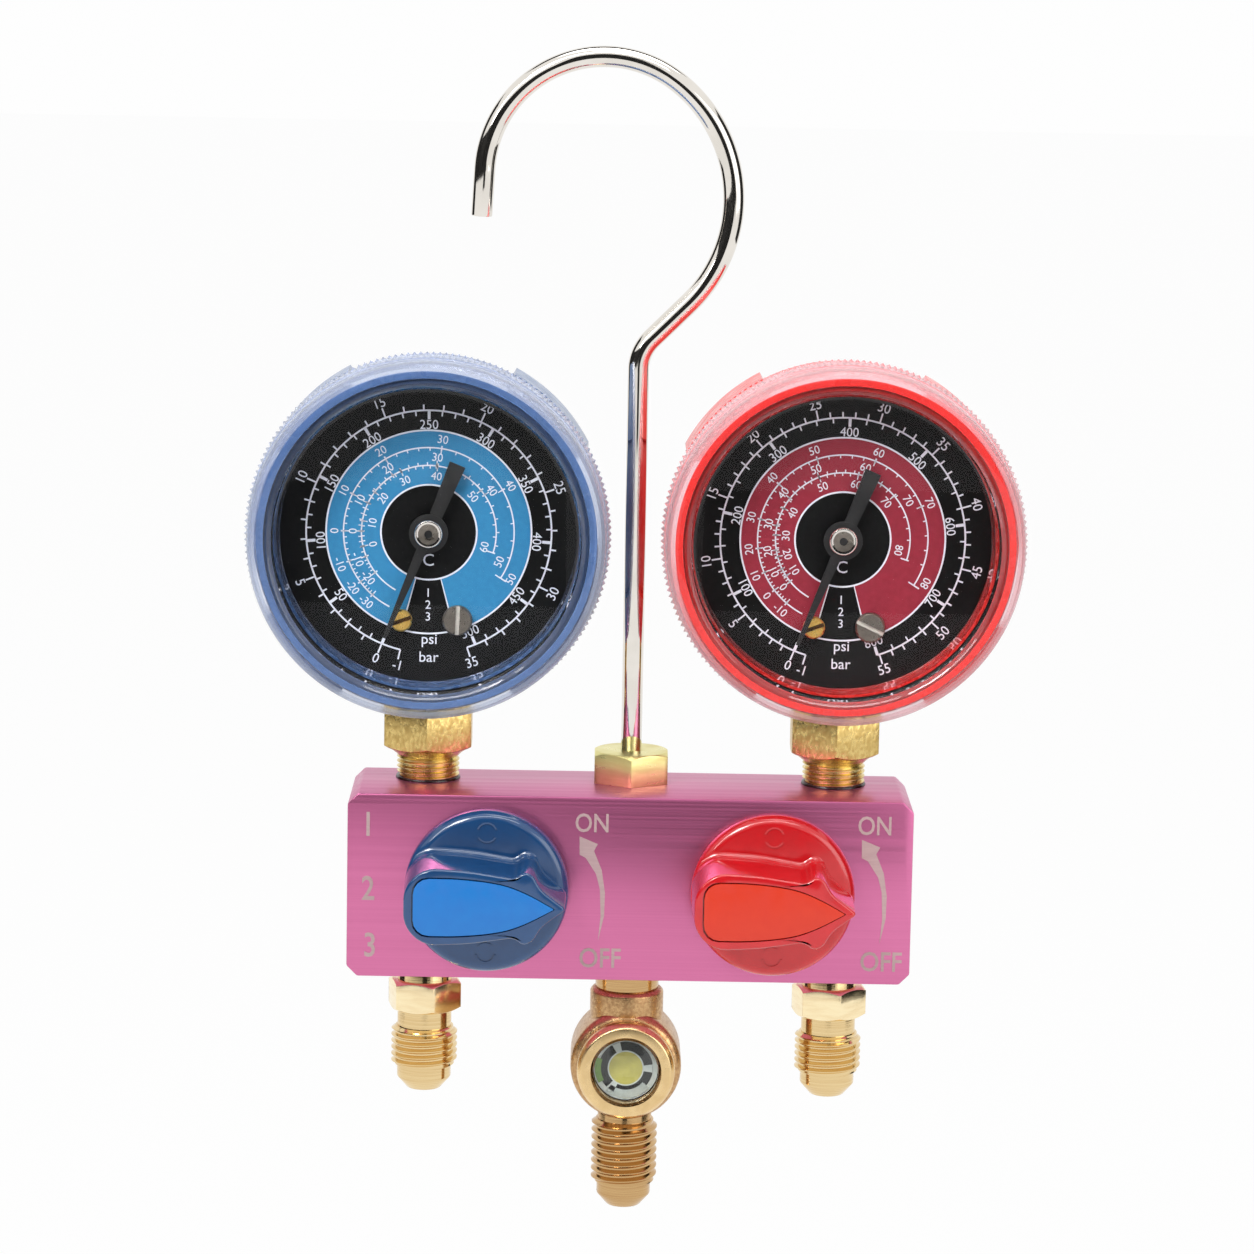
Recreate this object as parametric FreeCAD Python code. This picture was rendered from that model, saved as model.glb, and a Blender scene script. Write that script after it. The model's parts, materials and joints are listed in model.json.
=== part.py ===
"""Refrigerant manifold gauge: a service manifold with two hand valves and two pressure gauges.

Axes: +X to the viewer's right, +Y away from the viewer, +Z up, millimetres.
The pieces are drawn about the block's mid-depth on its top face, and the whole is then
shifted so that the origin is the point on which the hook hangs.
"""
import FreeCAD
import Part
import math
import os

# Manifold block, a bar of drilled aluminium
BLOCK_WIDTH = 107.0
BLOCK_DEPTH = 25.4
BLOCK_HEIGHT = 35.4
BLOCK_CHAMFER = 2.0
BLOCK_EDGE_BREAK = 0.4
PORT_PITCH = 78.0
VALVE_PITCH = 54.0
VALVE_DROP = 17.6
STEM_LINE = 4.5

# Drillings
VALVE_BORE_R = 6.5
VALVE_BORE_DEPTH = 6.0
PISTON_BORE_R = 5.0
SEAT_DEPTH = 13.7
SEAT_HOLE_R = 1.5
GALLERY_R = 1.75
GALLERY_LINE = 6.5
PLUG_R = 2.4
PLUG_LENGTH = 5.0
PORT_TAP_DEPTH = 8.4
PORT_WAY_R = 3.0
PORT_WAY_TOP = 12.0
GAUGE_TAP_DEPTH = 9.0
GAUGE_WAY_R = 1.5
GAUGE_WAY_LINE = 2.0
CENTRE_WAY_R = 2.0
CENTRE_WAY_LINE = 3.2
CROSS_HOLE_R = 1.2
CROSS_HOLE_LINE = -1.8

# Flare ports, 1/2"-20 UNF for 5/16" hose ends
FLARE_THREAD_R = 6.35
FLARE_NECK_R = 5.2
FLARE_TIP_R = 3.2
FLARE_CONE = 2.3
FLARE_NOSE = 2.3
FLARE_BORE_R = 2.4
SPIGOT_R = 5.5
PORT_HEX = 12.7
PORT_HEX_HEIGHT = 5.8
PORT_NECK_TOP = 3.2
PORT_NECK_MIDDLE = 3.4
PORT_THREAD = 7.8
THREAD_RELIEF = 0.4

# Centre port with its sight glass
GLASS_DROP = 53.9
BARREL_R = 10.65
BARREL_BACK = 8.0
BARREL_FRONT = 7.3
CENTRE_NECK_R = 6.1
CENTRE_COLLAR_R = 7.05
CENTRE_COLLAR_HEIGHT = 3.6
CENTRE_THREAD = 12.6
CENTRE_THREAD_GAP = 1.2
BARREL_BACK_EDGE = 1.5
COLLAR_SINK = 3.0
COLLAR_EDGE = 0.6
NOSE_ROOT = 5.0
GLASS_RING_R = 9.4
GLASS_RING_LENGTH = 3.8
GLASS_RING_SEAT_R = 8.6
GLASS_RING_LIP = 1.0
GLASS_OPEN_R = 6.2
GLASS_R = 7.3
GLASS_THICK = 3.0
GLASS_CHAMBER_R = 6.0
GLASS_CHAMBER_DEPTH = 6.0
INDICATOR_R = 5.2
INDICATOR_THICK = 0.6
INDICATOR_POST_R = 1.2
GLASS_SEAL_THICK = 1.0
GLASS_LIP_BEVEL = 0.6
INDICATOR_GAP = 0.4
POST_INSET = 0.4

# Hook, 4 mm rod, and its nut
ROD_R = 2.0
HOOK_RISE = 82.8
HOOK_BEND_R = 8.0
HOOK_SLANT = 45.0
CROOK_LARGE_R = 27.6
CROOK_SMALL_R = 22.5
CROOK_SLANT_RUN = 13.1
CROOK_JOIN_ANGLE = 53.0
CROOK_END_ANGLE = 177.0
HOOK_LEG = 8.0
HOOK_HEAD_R = 3.4
HOOK_HEAD_HEIGHT = 2.0
NUT_ACROSS = 14.0
NUT_HEIGHT = 6.0
NUT_SPIGOT_R = 4.5
NUT_SPIGOT_DEPTH = 6.0
HOOK_BORE_DEPTH = 9.0
HEX_TURN_ANGLE = 30.0

# Running fits, seats and edges
RUN_FIT = 0.05
AXIAL_PLAY = 0.1
EDGE_BREAK = 0.4
CAST_EDGE = 1.2
BORE_RUN_OUT = 30.0

# Gauge stem and socket
GAUGE_HEIGHT = 49.0
GAUGE_THREAD_R = 6.0
GAUGE_THREAD_IN = 8.0
GAUGE_THREAD_OUT = 3.5
GAUGE_CONE = 3.2
GAUGE_CONE_R = 8.1
GAUGE_HEX = 17.0
GAUGE_HEX_HEIGHT = 7.6
GAUGE_NECK_R = 7.5
STEM_BORE_R = 1.2
BRANCH_WALL = 2.0
GAUGE_SEAL_R = 7.2
GAUGE_SEAL_HEIGHT = 1.2
SOCKET_WIDTH = 16.0
SOCKET_FRONT = -5.5
SOCKET_BACK = 5.0
SOCKET_BOTTOM = 34.0
SOCKET_TOP = 21.0
TONGUE_WIDTH = 14.0
TONGUE_FRONT = -0.5
TONGUE_ROOT = 25.0
TONGUE_TOP = 12.0

# Gauge case
CASE_R = 32.2
CASE_THREAD_R = 31.6
CASE_RIM_BORE_R = 29.5
CASE_BORE_R = 29.0
CASE_RIM_FRONT = -21.5
CASE_FLANGE_FRONT = -10.2
CASE_BACK = 10.0
CASE_BACK_WALL = 2.5
CASE_ROUND = 4.5
CASE_INNER_BEVEL = 2.0
CASE_ROOT = 0.5
LEDGE_R = 27.2
LEDGE_DEPTH = 2.0
LOBE_R = 33.7
LOBE_HALF_ANGLE = 17.0
LOBE_FRONT = -8.0
LOBE_BACK = 5.0
CASE_SLOT_HALF = 10.2
CASE_SLOT_TOP = 26.6

# Screw-on lens
LENS_KNURL_R = 34.4
LENS_KNURL_BACK = -10.5
LENS_KNURL_FRONT = -17.5
LENS_WALL_R = 33.4
LENS_FACE_R = 32.2
LENS_FRONT = -24.5
LENS_SHOULDER = 1.5
LENS_STEP_R = 29.3
LENS_WINDOW_R = 28.5
LENS_WINDOW_SET_BACK = 1.6
LENS_WINDOW_THICK = 2.0
LENS_SLEEVE_R = 27.9
LENS_SLEEVE_BACK = -14.5
LENS_GROOVE_FRONT = -22.4
LENS_THREAD_FIT = 0.1
LENS_SEAL_WIDTH = 0.8
LENS_SEAL_SEAT = 0.4

# Dial and pointer
DIAL_R = 28.0
DIAL_FRONT = -10.0
DIAL_THICK = 0.8
DIAL_HOLE_R = 1.8
SCREW_CIRCLE_R = 17.7
DIAL_SCREW_ANGLE = -106.7
ZERO_SCREW_ANGLE = -71.4
DIAL_SCREW_HEAD_R = 2.1
DIAL_SCREW_R = 0.95
ZERO_SCREW_HEAD_R = 2.85
ZERO_SCREW_R = 1.2
SCREW_HEAD_THICK = 1.3
SLOT_WIDTH = 0.8
SLOT_DEPTH = 0.6
SCREW_EDGE = 0.3
DIAL_SCREW_SLOT = 20.0
LOW_ZERO_SLOT = 88.0
HIGH_ZERO_SLOT = -25.0
POINTER_FRONT = -12.1
POINTER_THICK = 0.4
POINTER_ZERO_ANGLE = -112.0
POINTER_LENGTH = 21.8
POINTER_TAIL = 14.3
POINTER_TIP_HALF = 0.35
POINTER_HUB_HALF = 1.1
POINTER_TAIL_HALF = 1.6
POINTER_BOSS_R = 3.7
POINTER_BOSS_RISE = 0.1
HUB_CAP_R = 2.7
HUB_CAP_THICK = 0.8
HUB_SHANK_R = 1.5
HUB_SHANK = 1.2
ARBOR_R = 0.75

# Gauge movement: pinion, toothed sector, link and tube
GEAR_MODULE = 0.3
PINION_TEETH = 12
SECTOR_TEETH = 96
PRESSURE_ANGLE = 20.0
PINION_ADDENDUM = 0.95
SECTOR_ADDENDUM = 0.85
DEDENDUM = 1.3
BACKLASH = 0.05
SECTOR_AXIS_ANGLE = -20.0
SECTOR_FIRST_TOOTH = -2
SECTOR_LAST_TOOTH = 11
SECTOR_RIM = 1.6
SECTOR_HUB_R = 1.8
SECTOR_COLLAR = 0.4
SECTOR_EDGE_PITCHES = 0.8
SECTOR_WEB = 2.2
SECTOR_SPOKE_ANGLE = 9.0
SECTOR_FRONT = -6.1
SECTOR_THICK = 0.8
SECTOR_SHAFT_R = 0.8
PINION_FRONT = -6.7
PINION_LENGTH = 2.4
TAIL_LENGTH = 5.0
TAIL_ANGLE = -20.0
TAIL_END_R = 1.2
LINK_PIN_R = 0.5
LINK_FRONT = -5.1
LINK_THICK = 0.6
LINK_RUN_X = 1.1
LINK_RUN_Z = 8.2
LINK_EYE_R = 1.2
LINK_BODY_R = 0.7
PLATE_FRONT = -7.9
PLATE_THICK = 1.0
BACK_PLATE_FRONT = -1.5
PLATE_HUB_R = 3.5
PLATE_PIVOT_R = 3.0
PLATE_SCREW_R = 2.5
FOOT_BOTTOM = -19.0
FOOT_INSET = 0.5
PILLAR_R = 1.1
LOW_PILLAR = (5.5, -13.0)
LOW_PILLAR_LUG_R = 2.6
SIDE_PILLAR = (17.3, 2.2)
SIDE_PILLAR_LUG_R = 2.2
LEFT_PILLAR = (-5.0, -8.0)
LEFT_PILLAR_LUG_R = 2.4
SPRING_FRONT = -3.4
SPRING_WIDTH = 0.6
SPRING_STRIP = 0.15
SPRING_PITCH = 0.6
SPRING_TURNS = 5
SPRING_CLEARANCE = 0.3
TUBE_MEAN_R = 23.5
TUBE_WIDTH = 6.0
TUBE_DEPTH = 2.6
TUBE_WALL = 0.4
TUBE_CORNER = 0.8
TUBE_ROOT_ANGLE = -100.0
TUBE_TIP_ANGLE = 10.0
TUBE_TIP_R = 2.0
TUBE_LUG_FRONT = -4.3
TUBE_LUG_THICK = 1.2
TUBE_BLOCK_LAP = 0.2

# Valve: bonnet, stem, piston and seals, measured inwards from the block's front face
BONNET_FLANGE_R = 8.0
BONNET_FLANGE = 1.0
BONNET_COLLAR_R = 5.0
BONNET_COLLAR = 2.0
BONNET_POCKET = 2.4
STEM_R = 3.0
STEM_SQUARE = 4.5
STEM_SHOULDER = 4.5
STEM_END = 8.9
STEM_TIP_R = 2.0
STEM_TIP = 1.9
PISTON_BACK = 6.4
PISTON_HEAD = 3.2
PISTON_NOSE_R = 2.8
SEAT_SEAL_THICK = 0.8
SEAL_GROOVE_R = 3.6
SEAL_GROOVE_WIDTH = 1.6
SEAL_GROOVE_START = 0.8

# Knob: a disc with a tall pointed grip and a coloured teardrop insert
KNOB_GAP = 1.3
KNOB_R = 15.5
KNOB_DISC = 4.0
KNOB_GRIP = 13.0
KNOB_EDGE = 0.5
KNOB_WALL = 2.2
KNOB_HUB_R = 5.5
KNOB_RECESS_R = 6.6
KNOB_RECESS = 3.2
KNOB_FLOOR = 9.0
KNOB_POCKET = 2.5
KNOB_POCKET_FLOOR = 1.8
KNOB_MARK_R = 1.95
KNOB_MARK_OFFSET = 11.6
KNOB_MARK_DEPTH = 0.2
KNOB_MARK_LINE = 0.25
KNOB_HEAD_ROOM = 0.4
GRIP_BUTT = 15.0
GRIP_BUTT_FLAT = 2.5
GRIP_CORNER = 10.3
GRIP_HALF = 7.3
GRIP_BUTT_MID = -13.5
GRIP_BUTT_MID_HALF = 5.4
GRIP_WAIST = ((4.2, 5.82), (5.4, 5.75), (6.5, 6.55))
GRIP_EAR = ((7.8, 7.0), (9.1, 6.1))
GRIP_NECK = 10.3
GRIP_NECK_HALF = 3.9
GRIP_NOSE_LENGTH = 0.5
GRIP_TIP = 15.2
GRIP_TIP_HALF = 0.9
INSERT_BUTT = 13.3
INSERT_CORNER = 2.6
INSERT_HALF = 5.25
INSERT_SHOULDER = 4.8
INSERT_BOW = 4.0
INSERT_BOW_SHARE = 0.7
INSERT_TIP = 12.4
INSERT_TIP_HALF = 0.3
INSERT_FIT = 0.15
INSERT_PROUD = 0.3
KNOB_SCREW_HEAD_R = 2.9
KNOB_SCREW_HEAD = 2.0
KNOB_SCREW_R = 1.4
KNOB_SCREW_LENGTH = 6.0

BLOCK_FRONT = -BLOCK_DEPTH / 2
DIAL_BACK = DIAL_FRONT + DIAL_THICK
GEAR_DISTANCE = GEAR_MODULE * (PINION_TEETH + SECTOR_TEETH) / 2
PARTS = {}


def vec(x, y, z):
    return FreeCAD.Vector(x, y, z)


def polar(radius, degrees):
    """A point (x, z) at this radius and angle, seen from the front."""
    angle = math.radians(degrees)
    return radius * math.cos(angle), radius * math.sin(angle)


def rod_y(x, z, radius, y0, y1):
    """A round bar lying along Y from y0 to y1."""
    return Part.makeCylinder(radius, y1 - y0, vec(x, y0, z), vec(0, 1, 0))


def rod_z(x, y, radius, z0, z1):
    """A round bar standing along Z from z0 to z1."""
    return Part.makeCylinder(radius, z1 - z0, vec(x, y, z0))


def rod_x(y, z, radius, x0, x1):
    """A round bar lying along X from x0 to x1."""
    return Part.makeCylinder(radius, x1 - x0, vec(x0, y, z), vec(1, 0, 0))


def through_hole(place, radius):
    """A cutter along Y, long enough for any gauge piece, at the point (x, z)."""
    return rod_y(*place, radius, -BORE_RUN_OUT, BORE_RUN_OUT)


def box(x0, x1, y0, y1, z0, z1):
    return Part.makeBox(x1 - x0, y1 - y0, z1 - z0, vec(x0, y0, z0))


def joined(first, *rest):
    shape = first
    for other in rest:
        shape = shape.fuse(other)
    return shape.removeSplitter()


def cut(shape, *tools):
    for tool in tools:
        shape = shape.cut(tool)
    return shape


def turned_y(points):
    """A body turned about the Y axis from (radius, y) points."""
    corners = [vec(r, y, 0) for r, y in points]
    face = Part.Face(Part.makePolygon(corners + corners[:1]))
    return face.revolve(vec(0, 0, 0), vec(0, 1, 0), 360)


def turned_z(points):
    """A body turned about the Z axis from (radius, z) points."""
    corners = [vec(r, 0, z) for r, z in points]
    face = Part.Face(Part.makePolygon(corners + corners[:1]))
    return face.revolve(vec(0, 0, 0), vec(0, 0, 1), 360)


def plate(wire, y0, y1):
    """A flat plate with this outline in the XZ plane, from y0 to y1."""
    face = Part.Face(wire)
    face.translate(vec(0, y0, 0))
    return face.extrude(vec(0, y1 - y0, 0))


def polygon(points):
    corners = [vec(x, 0, z) for x, z in points]
    return Part.makePolygon(corners + corners[:1])


def arc(start, middle, end):
    points = [vec(x, 0, z) for x, z in (start, middle, end)]
    return Part.Arc(*points).toShape()


def line(start, end):
    return Part.LineSegment(vec(start[0], 0, start[1]), vec(end[0], 0, end[1])).toShape()


def strap(a, radius_a, b, radius_b, y0, y1):
    """A flat strap with rounded ends about points a and b."""
    run = math.hypot(b[0] - a[0], b[1] - a[1])
    heading = math.degrees(math.atan2(b[1] - a[1], b[0] - a[0]))
    lean = math.degrees(math.acos((radius_a - radius_b) / run))
    left_a, left_b = (polar(r, heading + lean) for r in (radius_a, radius_b))
    right_a, right_b = (polar(r, heading - lean) for r in (radius_a, radius_b))
    corners = [(a[0] + left_a[0], a[1] + left_a[1]), (b[0] + left_b[0], b[1] + left_b[1]),
               (b[0] + right_b[0], b[1] + right_b[1]), (a[0] + right_a[0], a[1] + right_a[1])]
    middle = plate(polygon(corners), y0, y1)
    return joined(middle, rod_y(*a, radius_a, y0, y1), rod_y(*b, radius_b, y0, y1))


def hexagon_z(across, z0, z1, chamfer_bottom, chamfer_top):
    """A hexagon bar along Z with one corner to the front and turned-down ends."""
    corner_r = across / math.sqrt(3)
    corners = []
    for i in range(6):
        x, y = polar(corner_r, 60 * i - 90)
        corners.append(vec(x, y, z0))
    bar = Part.Face(Part.makePolygon(corners + corners[:1])).extrude(vec(0, 0, z1 - z0))
    slope = math.tan(math.radians(HEX_TURN_ANGLE))
    reach = corner_r + 1
    profile = [(0, z0), (across / 2, z0) if chamfer_bottom else (reach, z0)]
    if chamfer_bottom:
        profile.append((reach, z0 + (reach - across / 2) * slope))
    if chamfer_top:
        profile.append((reach, z1 - (reach - across / 2) * slope))
    profile += [(across / 2, z1) if chamfer_top else (reach, z1), (0, z1)]
    return bar.common(turned_z(profile))


def involute(angle):
    return math.tan(angle) - angle


def tooth_profile(teeth, addendum):
    """(radius, half angle in degrees) points up one flank of a gear tooth."""
    pressure = math.radians(PRESSURE_ANGLE)
    pitch_r = GEAR_MODULE * teeth / 2
    base_r = pitch_r * math.cos(pressure)
    root_r = pitch_r - DEDENDUM * GEAR_MODULE
    tip_r = pitch_r + addendum * GEAR_MODULE
    half = math.pi / (2 * teeth) - BACKLASH / (2 * pitch_r) + involute(pressure)
    start_r = max(base_r, root_r)
    flank = [start_r + (tip_r - start_r) * i / 3 for i in range(4)]
    points = [(r, math.degrees(half - involute(math.acos(min(1.0, base_r / r))))) for r in flank]
    if root_r < base_r:
        points.insert(0, (root_r, points[0][1]))
    return points


def tooth_points(teeth, addendum, centre_angle):
    """The outline of one tooth, clockwise flank first."""
    profile = tooth_profile(teeth, addendum)
    rising = [polar(r, centre_angle - half) for r, half in profile]
    falling = [polar(r, centre_angle + half) for r, half in reversed(profile)]
    return rising + falling


def add(name, shape):
    solids = shape.Solids
    PARTS[name] = solids[0] if len(solids) == 1 else Part.makeCompound(solids)


def side_places():
    """Name prefix and side of the low pressure (left) and high pressure (right) halves."""
    return (("low", -1), ("high", 1))


def manifold_block():
    half = BLOCK_WIDTH / 2
    c = BLOCK_CHAMFER
    outline = [(-half + c, 0), (half - c, 0), (half, -c), (half, -BLOCK_HEIGHT + c),
               (half - c, -BLOCK_HEIGHT), (-half + c, -BLOCK_HEIGHT), (-half, -BLOCK_HEIGHT + c), (-half, -c)]
    body = plate(polygon(outline), BLOCK_FRONT, -BLOCK_FRONT)
    end_edges = [e for e in body.Edges if abs(e.BoundBox.YMax - e.BoundBox.YMin) < 1e-6]
    body = body.makeChamfer(BLOCK_EDGE_BREAK, end_edges)
    holes = []
    for _, side in side_places():
        port_x = side * PORT_PITCH / 2
        valve_x = side * VALVE_PITCH / 2
        seat_y = BLOCK_FRONT + SEAT_DEPTH
        holes += [
            rod_y(valve_x, -VALVE_DROP, VALVE_BORE_R, BLOCK_FRONT - 1, BLOCK_FRONT + VALVE_BORE_DEPTH),
            rod_y(valve_x, -VALVE_DROP, PISTON_BORE_R, BLOCK_FRONT, seat_y),
            rod_y(valve_x, -VALVE_DROP, SEAT_HOLE_R, seat_y - 1, GALLERY_LINE),
            rod_x(CROSS_HOLE_LINE, -VALVE_DROP, CROSS_HOLE_R, *sorted((valve_x, port_x))),
            rod_z(port_x, 0, SPIGOT_R, -BLOCK_HEIGHT - 1, -BLOCK_HEIGHT + PORT_TAP_DEPTH),
            rod_z(port_x, 0, PORT_WAY_R, -BLOCK_HEIGHT, -PORT_WAY_TOP),
            rod_z(port_x, STEM_LINE, GAUGE_THREAD_R, -GAUGE_TAP_DEPTH, 1),
            rod_z(port_x, GAUGE_WAY_LINE, GAUGE_WAY_R, -VALVE_DROP, -GAUGE_TAP_DEPTH + 1),
        ]
    holes += [
        rod_x(GALLERY_LINE, -VALVE_DROP, GALLERY_R, -half - 1, VALVE_PITCH / 2),
        rod_x(GALLERY_LINE, -VALVE_DROP, PLUG_R, -half - 1, -half + PLUG_LENGTH),
        rod_z(0, 0, SPIGOT_R, -BLOCK_HEIGHT - 1, -BLOCK_HEIGHT + PORT_TAP_DEPTH),
        rod_z(0, CENTRE_WAY_LINE, CENTRE_WAY_R, -BLOCK_HEIGHT, -VALVE_DROP),
        rod_z(0, STEM_LINE, NUT_SPIGOT_R, -HOOK_BORE_DEPTH, 1),
    ]
    add("manifold_block", cut(body, *holes))
    add("gallery_plug", rod_x(GALLERY_LINE, -VALVE_DROP, PLUG_R, -half, -half + PLUG_LENGTH))


def flare_end(top):
    """The threaded flare end of a port, from this height down to its cone, about the Z axis."""
    return [(FLARE_NECK_R, top), (FLARE_THREAD_R - THREAD_RELIEF, top),
            (FLARE_THREAD_R, top - THREAD_RELIEF)]


def flare_nose(bottom):
    nose_end = bottom - FLARE_NOSE
    return [(FLARE_THREAD_R, bottom + THREAD_RELIEF), (FLARE_THREAD_R - THREAD_RELIEF, bottom),
            (FLARE_NECK_R, bottom), (FLARE_NECK_R, nose_end), (FLARE_TIP_R, nose_end - FLARE_CONE),
            (FLARE_BORE_R, nose_end - FLARE_CONE)]


def port_fittings():
    """The two side ports, each one turned brass piece."""
    face = -BLOCK_HEIGHT
    top = face + PORT_TAP_DEPTH
    hex_top = face - PORT_NECK_TOP
    hex_bottom = hex_top - PORT_HEX_HEIGHT
    thread_top = hex_bottom - PORT_NECK_MIDDLE
    thread_bottom = thread_top - PORT_THREAD
    profile = [(FLARE_BORE_R, top), (SPIGOT_R, top), (SPIGOT_R, face), (FLARE_NECK_R, face)]
    profile += flare_end(thread_top) + flare_nose(thread_bottom)
    spindle = turned_z(profile)
    bore = rod_z(0, 0, FLARE_BORE_R, hex_bottom - 1, hex_top + 1)
    nut = hexagon_z(PORT_HEX, hex_bottom, hex_top, True, True)
    fitting = cut(joined(spindle, cut(nut, bore)))
    for name, side in side_places():
        shape = fitting.copy()
        shape.translate(vec(side * PORT_PITCH / 2, 0, 0))
        add(name + "_port_fitting", shape)


def sight_glass():
    """The centre port: a cast barrel with a window in its front and a flare end below."""
    face = -BLOCK_HEIGHT
    top = face + PORT_TAP_DEPTH
    barrel = turned_y([(0, -BARREL_FRONT), (BARREL_R - CAST_EDGE, -BARREL_FRONT),
                       (BARREL_R, -BARREL_FRONT + CAST_EDGE), (BARREL_R, BARREL_BACK - BARREL_BACK_EDGE),
                       (BARREL_R - BARREL_BACK_EDGE, BARREL_BACK), (0, BARREL_BACK)])
    barrel.translate(vec(0, 0, -GLASS_DROP))
    collar_bottom = -GLASS_DROP + BARREL_R - COLLAR_SINK
    collar_top = -GLASS_DROP + BARREL_R + CENTRE_COLLAR_HEIGHT
    neck = turned_z([(0, top), (SPIGOT_R, top), (SPIGOT_R, face), (CENTRE_NECK_R, face),
                     (CENTRE_NECK_R, collar_top), (CENTRE_COLLAR_R, collar_top - COLLAR_EDGE),
                     (CENTRE_COLLAR_R, collar_bottom), (0, collar_bottom)])
    thread_top = -GLASS_DROP - BARREL_R - CENTRE_THREAD_GAP
    thread_bottom = thread_top - CENTRE_THREAD
    tip = thread_bottom - FLARE_NOSE - FLARE_CONE
    nose = turned_z([(0, thread_top + NOSE_ROOT), (FLARE_NECK_R, thread_top + NOSE_ROOT)]
                    + flare_end(thread_top) + flare_nose(thread_bottom) + [(0, tip)])
    chamber_back = -BARREL_FRONT + GLASS_CHAMBER_DEPTH
    seat = rod_y(0, -GLASS_DROP, GLASS_RING_SEAT_R, -BARREL_FRONT - 1, -BARREL_FRONT + GLASS_SEAL_THICK)
    chamber = rod_y(0, -GLASS_DROP, GLASS_CHAMBER_R, -BARREL_FRONT - 1, chamber_back)
    way = rod_z(0, 0, FLARE_BORE_R, tip - 1, top + 1)
    add("sight_glass_body", cut(joined(barrel, neck, nose), seat, chamber, way))

    ring_front = -BARREL_FRONT - GLASS_RING_LENGTH
    seal_back = -BARREL_FRONT + GLASS_SEAL_THICK
    ring = turned_y([(GLASS_OPEN_R + GLASS_LIP_BEVEL, ring_front), (GLASS_RING_SEAT_R, ring_front),
                     (GLASS_RING_R, ring_front + CAST_EDGE), (GLASS_RING_R, -BARREL_FRONT),
                     (GLASS_RING_SEAT_R, -BARREL_FRONT), (GLASS_RING_SEAT_R, seal_back),
                     (GLASS_R, seal_back), (GLASS_R, ring_front + GLASS_RING_LIP),
                     (GLASS_OPEN_R, ring_front + GLASS_RING_LIP),
                     (GLASS_OPEN_R, ring_front + GLASS_LIP_BEVEL)])
    glass = rod_y(0, 0, GLASS_R, ring_front + GLASS_RING_LIP, ring_front + GLASS_RING_LIP + GLASS_THICK)
    seal_front = ring_front + GLASS_RING_LIP + GLASS_THICK
    seal = cut(rod_y(0, 0, GLASS_R, seal_front, seal_back),
               rod_y(0, 0, GLASS_CHAMBER_R, seal_front, seal_back))
    disc_front = seal_front + INDICATOR_GAP
    post_z = -INDICATOR_R + INDICATOR_POST_R + POST_INSET
    disc = joined(rod_y(0, 0, INDICATOR_R, disc_front, disc_front + INDICATOR_THICK),
                  rod_y(0, post_z, INDICATOR_POST_R, disc_front, chamber_back))
    for name, shape in (("sight_glass_ring", ring), ("sight_glass_window", glass),
                        ("sight_glass_seal", seal), ("moisture_indicator", disc)):
        shape.translate(vec(0, 0, -GLASS_DROP))
        add(name, shape)


def crook_points():
    """Key points of the hook's centreline as (x, z), from the head to the tip of the leg."""
    heading = 90.0 - HOOK_SLANT
    tangent = HOOK_BEND_R * math.tan(math.radians(HOOK_SLANT / 2))
    foot = (0.0, HOOK_RISE - tangent)
    bend_centre = (HOOK_BEND_R, HOOK_RISE - tangent)
    bend_mid = tuple(c + d for c, d in zip(bend_centre, polar(HOOK_BEND_R, 180.0 - HOOK_SLANT / 2)))
    slant_start = tuple(p * tangent for p in polar(1, heading))
    slant_start = (slant_start[0], HOOK_RISE + slant_start[1])
    slant_end = tuple(p * CROOK_SLANT_RUN for p in polar(1, heading))
    slant_end = (slant_end[0], HOOK_RISE + slant_end[1])
    large = tuple(e - d for e, d in zip(slant_end, polar(CROOK_LARGE_R, -HOOK_SLANT)))
    large_mid = tuple(c + d for c, d in zip(large, polar(CROOK_LARGE_R, (CROOK_JOIN_ANGLE - HOOK_SLANT) / 2)))
    join = tuple(c + d for c, d in zip(large, polar(CROOK_LARGE_R, CROOK_JOIN_ANGLE)))
    small = tuple(j - d for j, d in zip(join, polar(CROOK_SMALL_R, CROOK_JOIN_ANGLE)))
    small_mid_angle = (CROOK_JOIN_ANGLE + CROOK_END_ANGLE) / 2
    small_mid = tuple(c + d for c, d in zip(small, polar(CROOK_SMALL_R, small_mid_angle)))
    leg_top = tuple(c + d for c, d in zip(small, polar(CROOK_SMALL_R, CROOK_END_ANGLE)))
    leg_end = tuple(t + d for t, d in zip(leg_top, polar(HOOK_LEG, CROOK_END_ANGLE + 90)))
    return {"foot": foot, "bend_mid": bend_mid, "slant_start": slant_start, "slant_end": slant_end,
            "large_mid": large_mid, "join": join, "small": small, "small_mid": small_mid,
            "leg_top": leg_top, "leg_end": leg_end}


def hang_point():
    """Top of the inside of the crook, where the hook bears on what it hangs from."""
    small = crook_points()["small"]
    return small[0], STEM_LINE, small[1] + CROOK_SMALL_R - ROD_R


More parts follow.
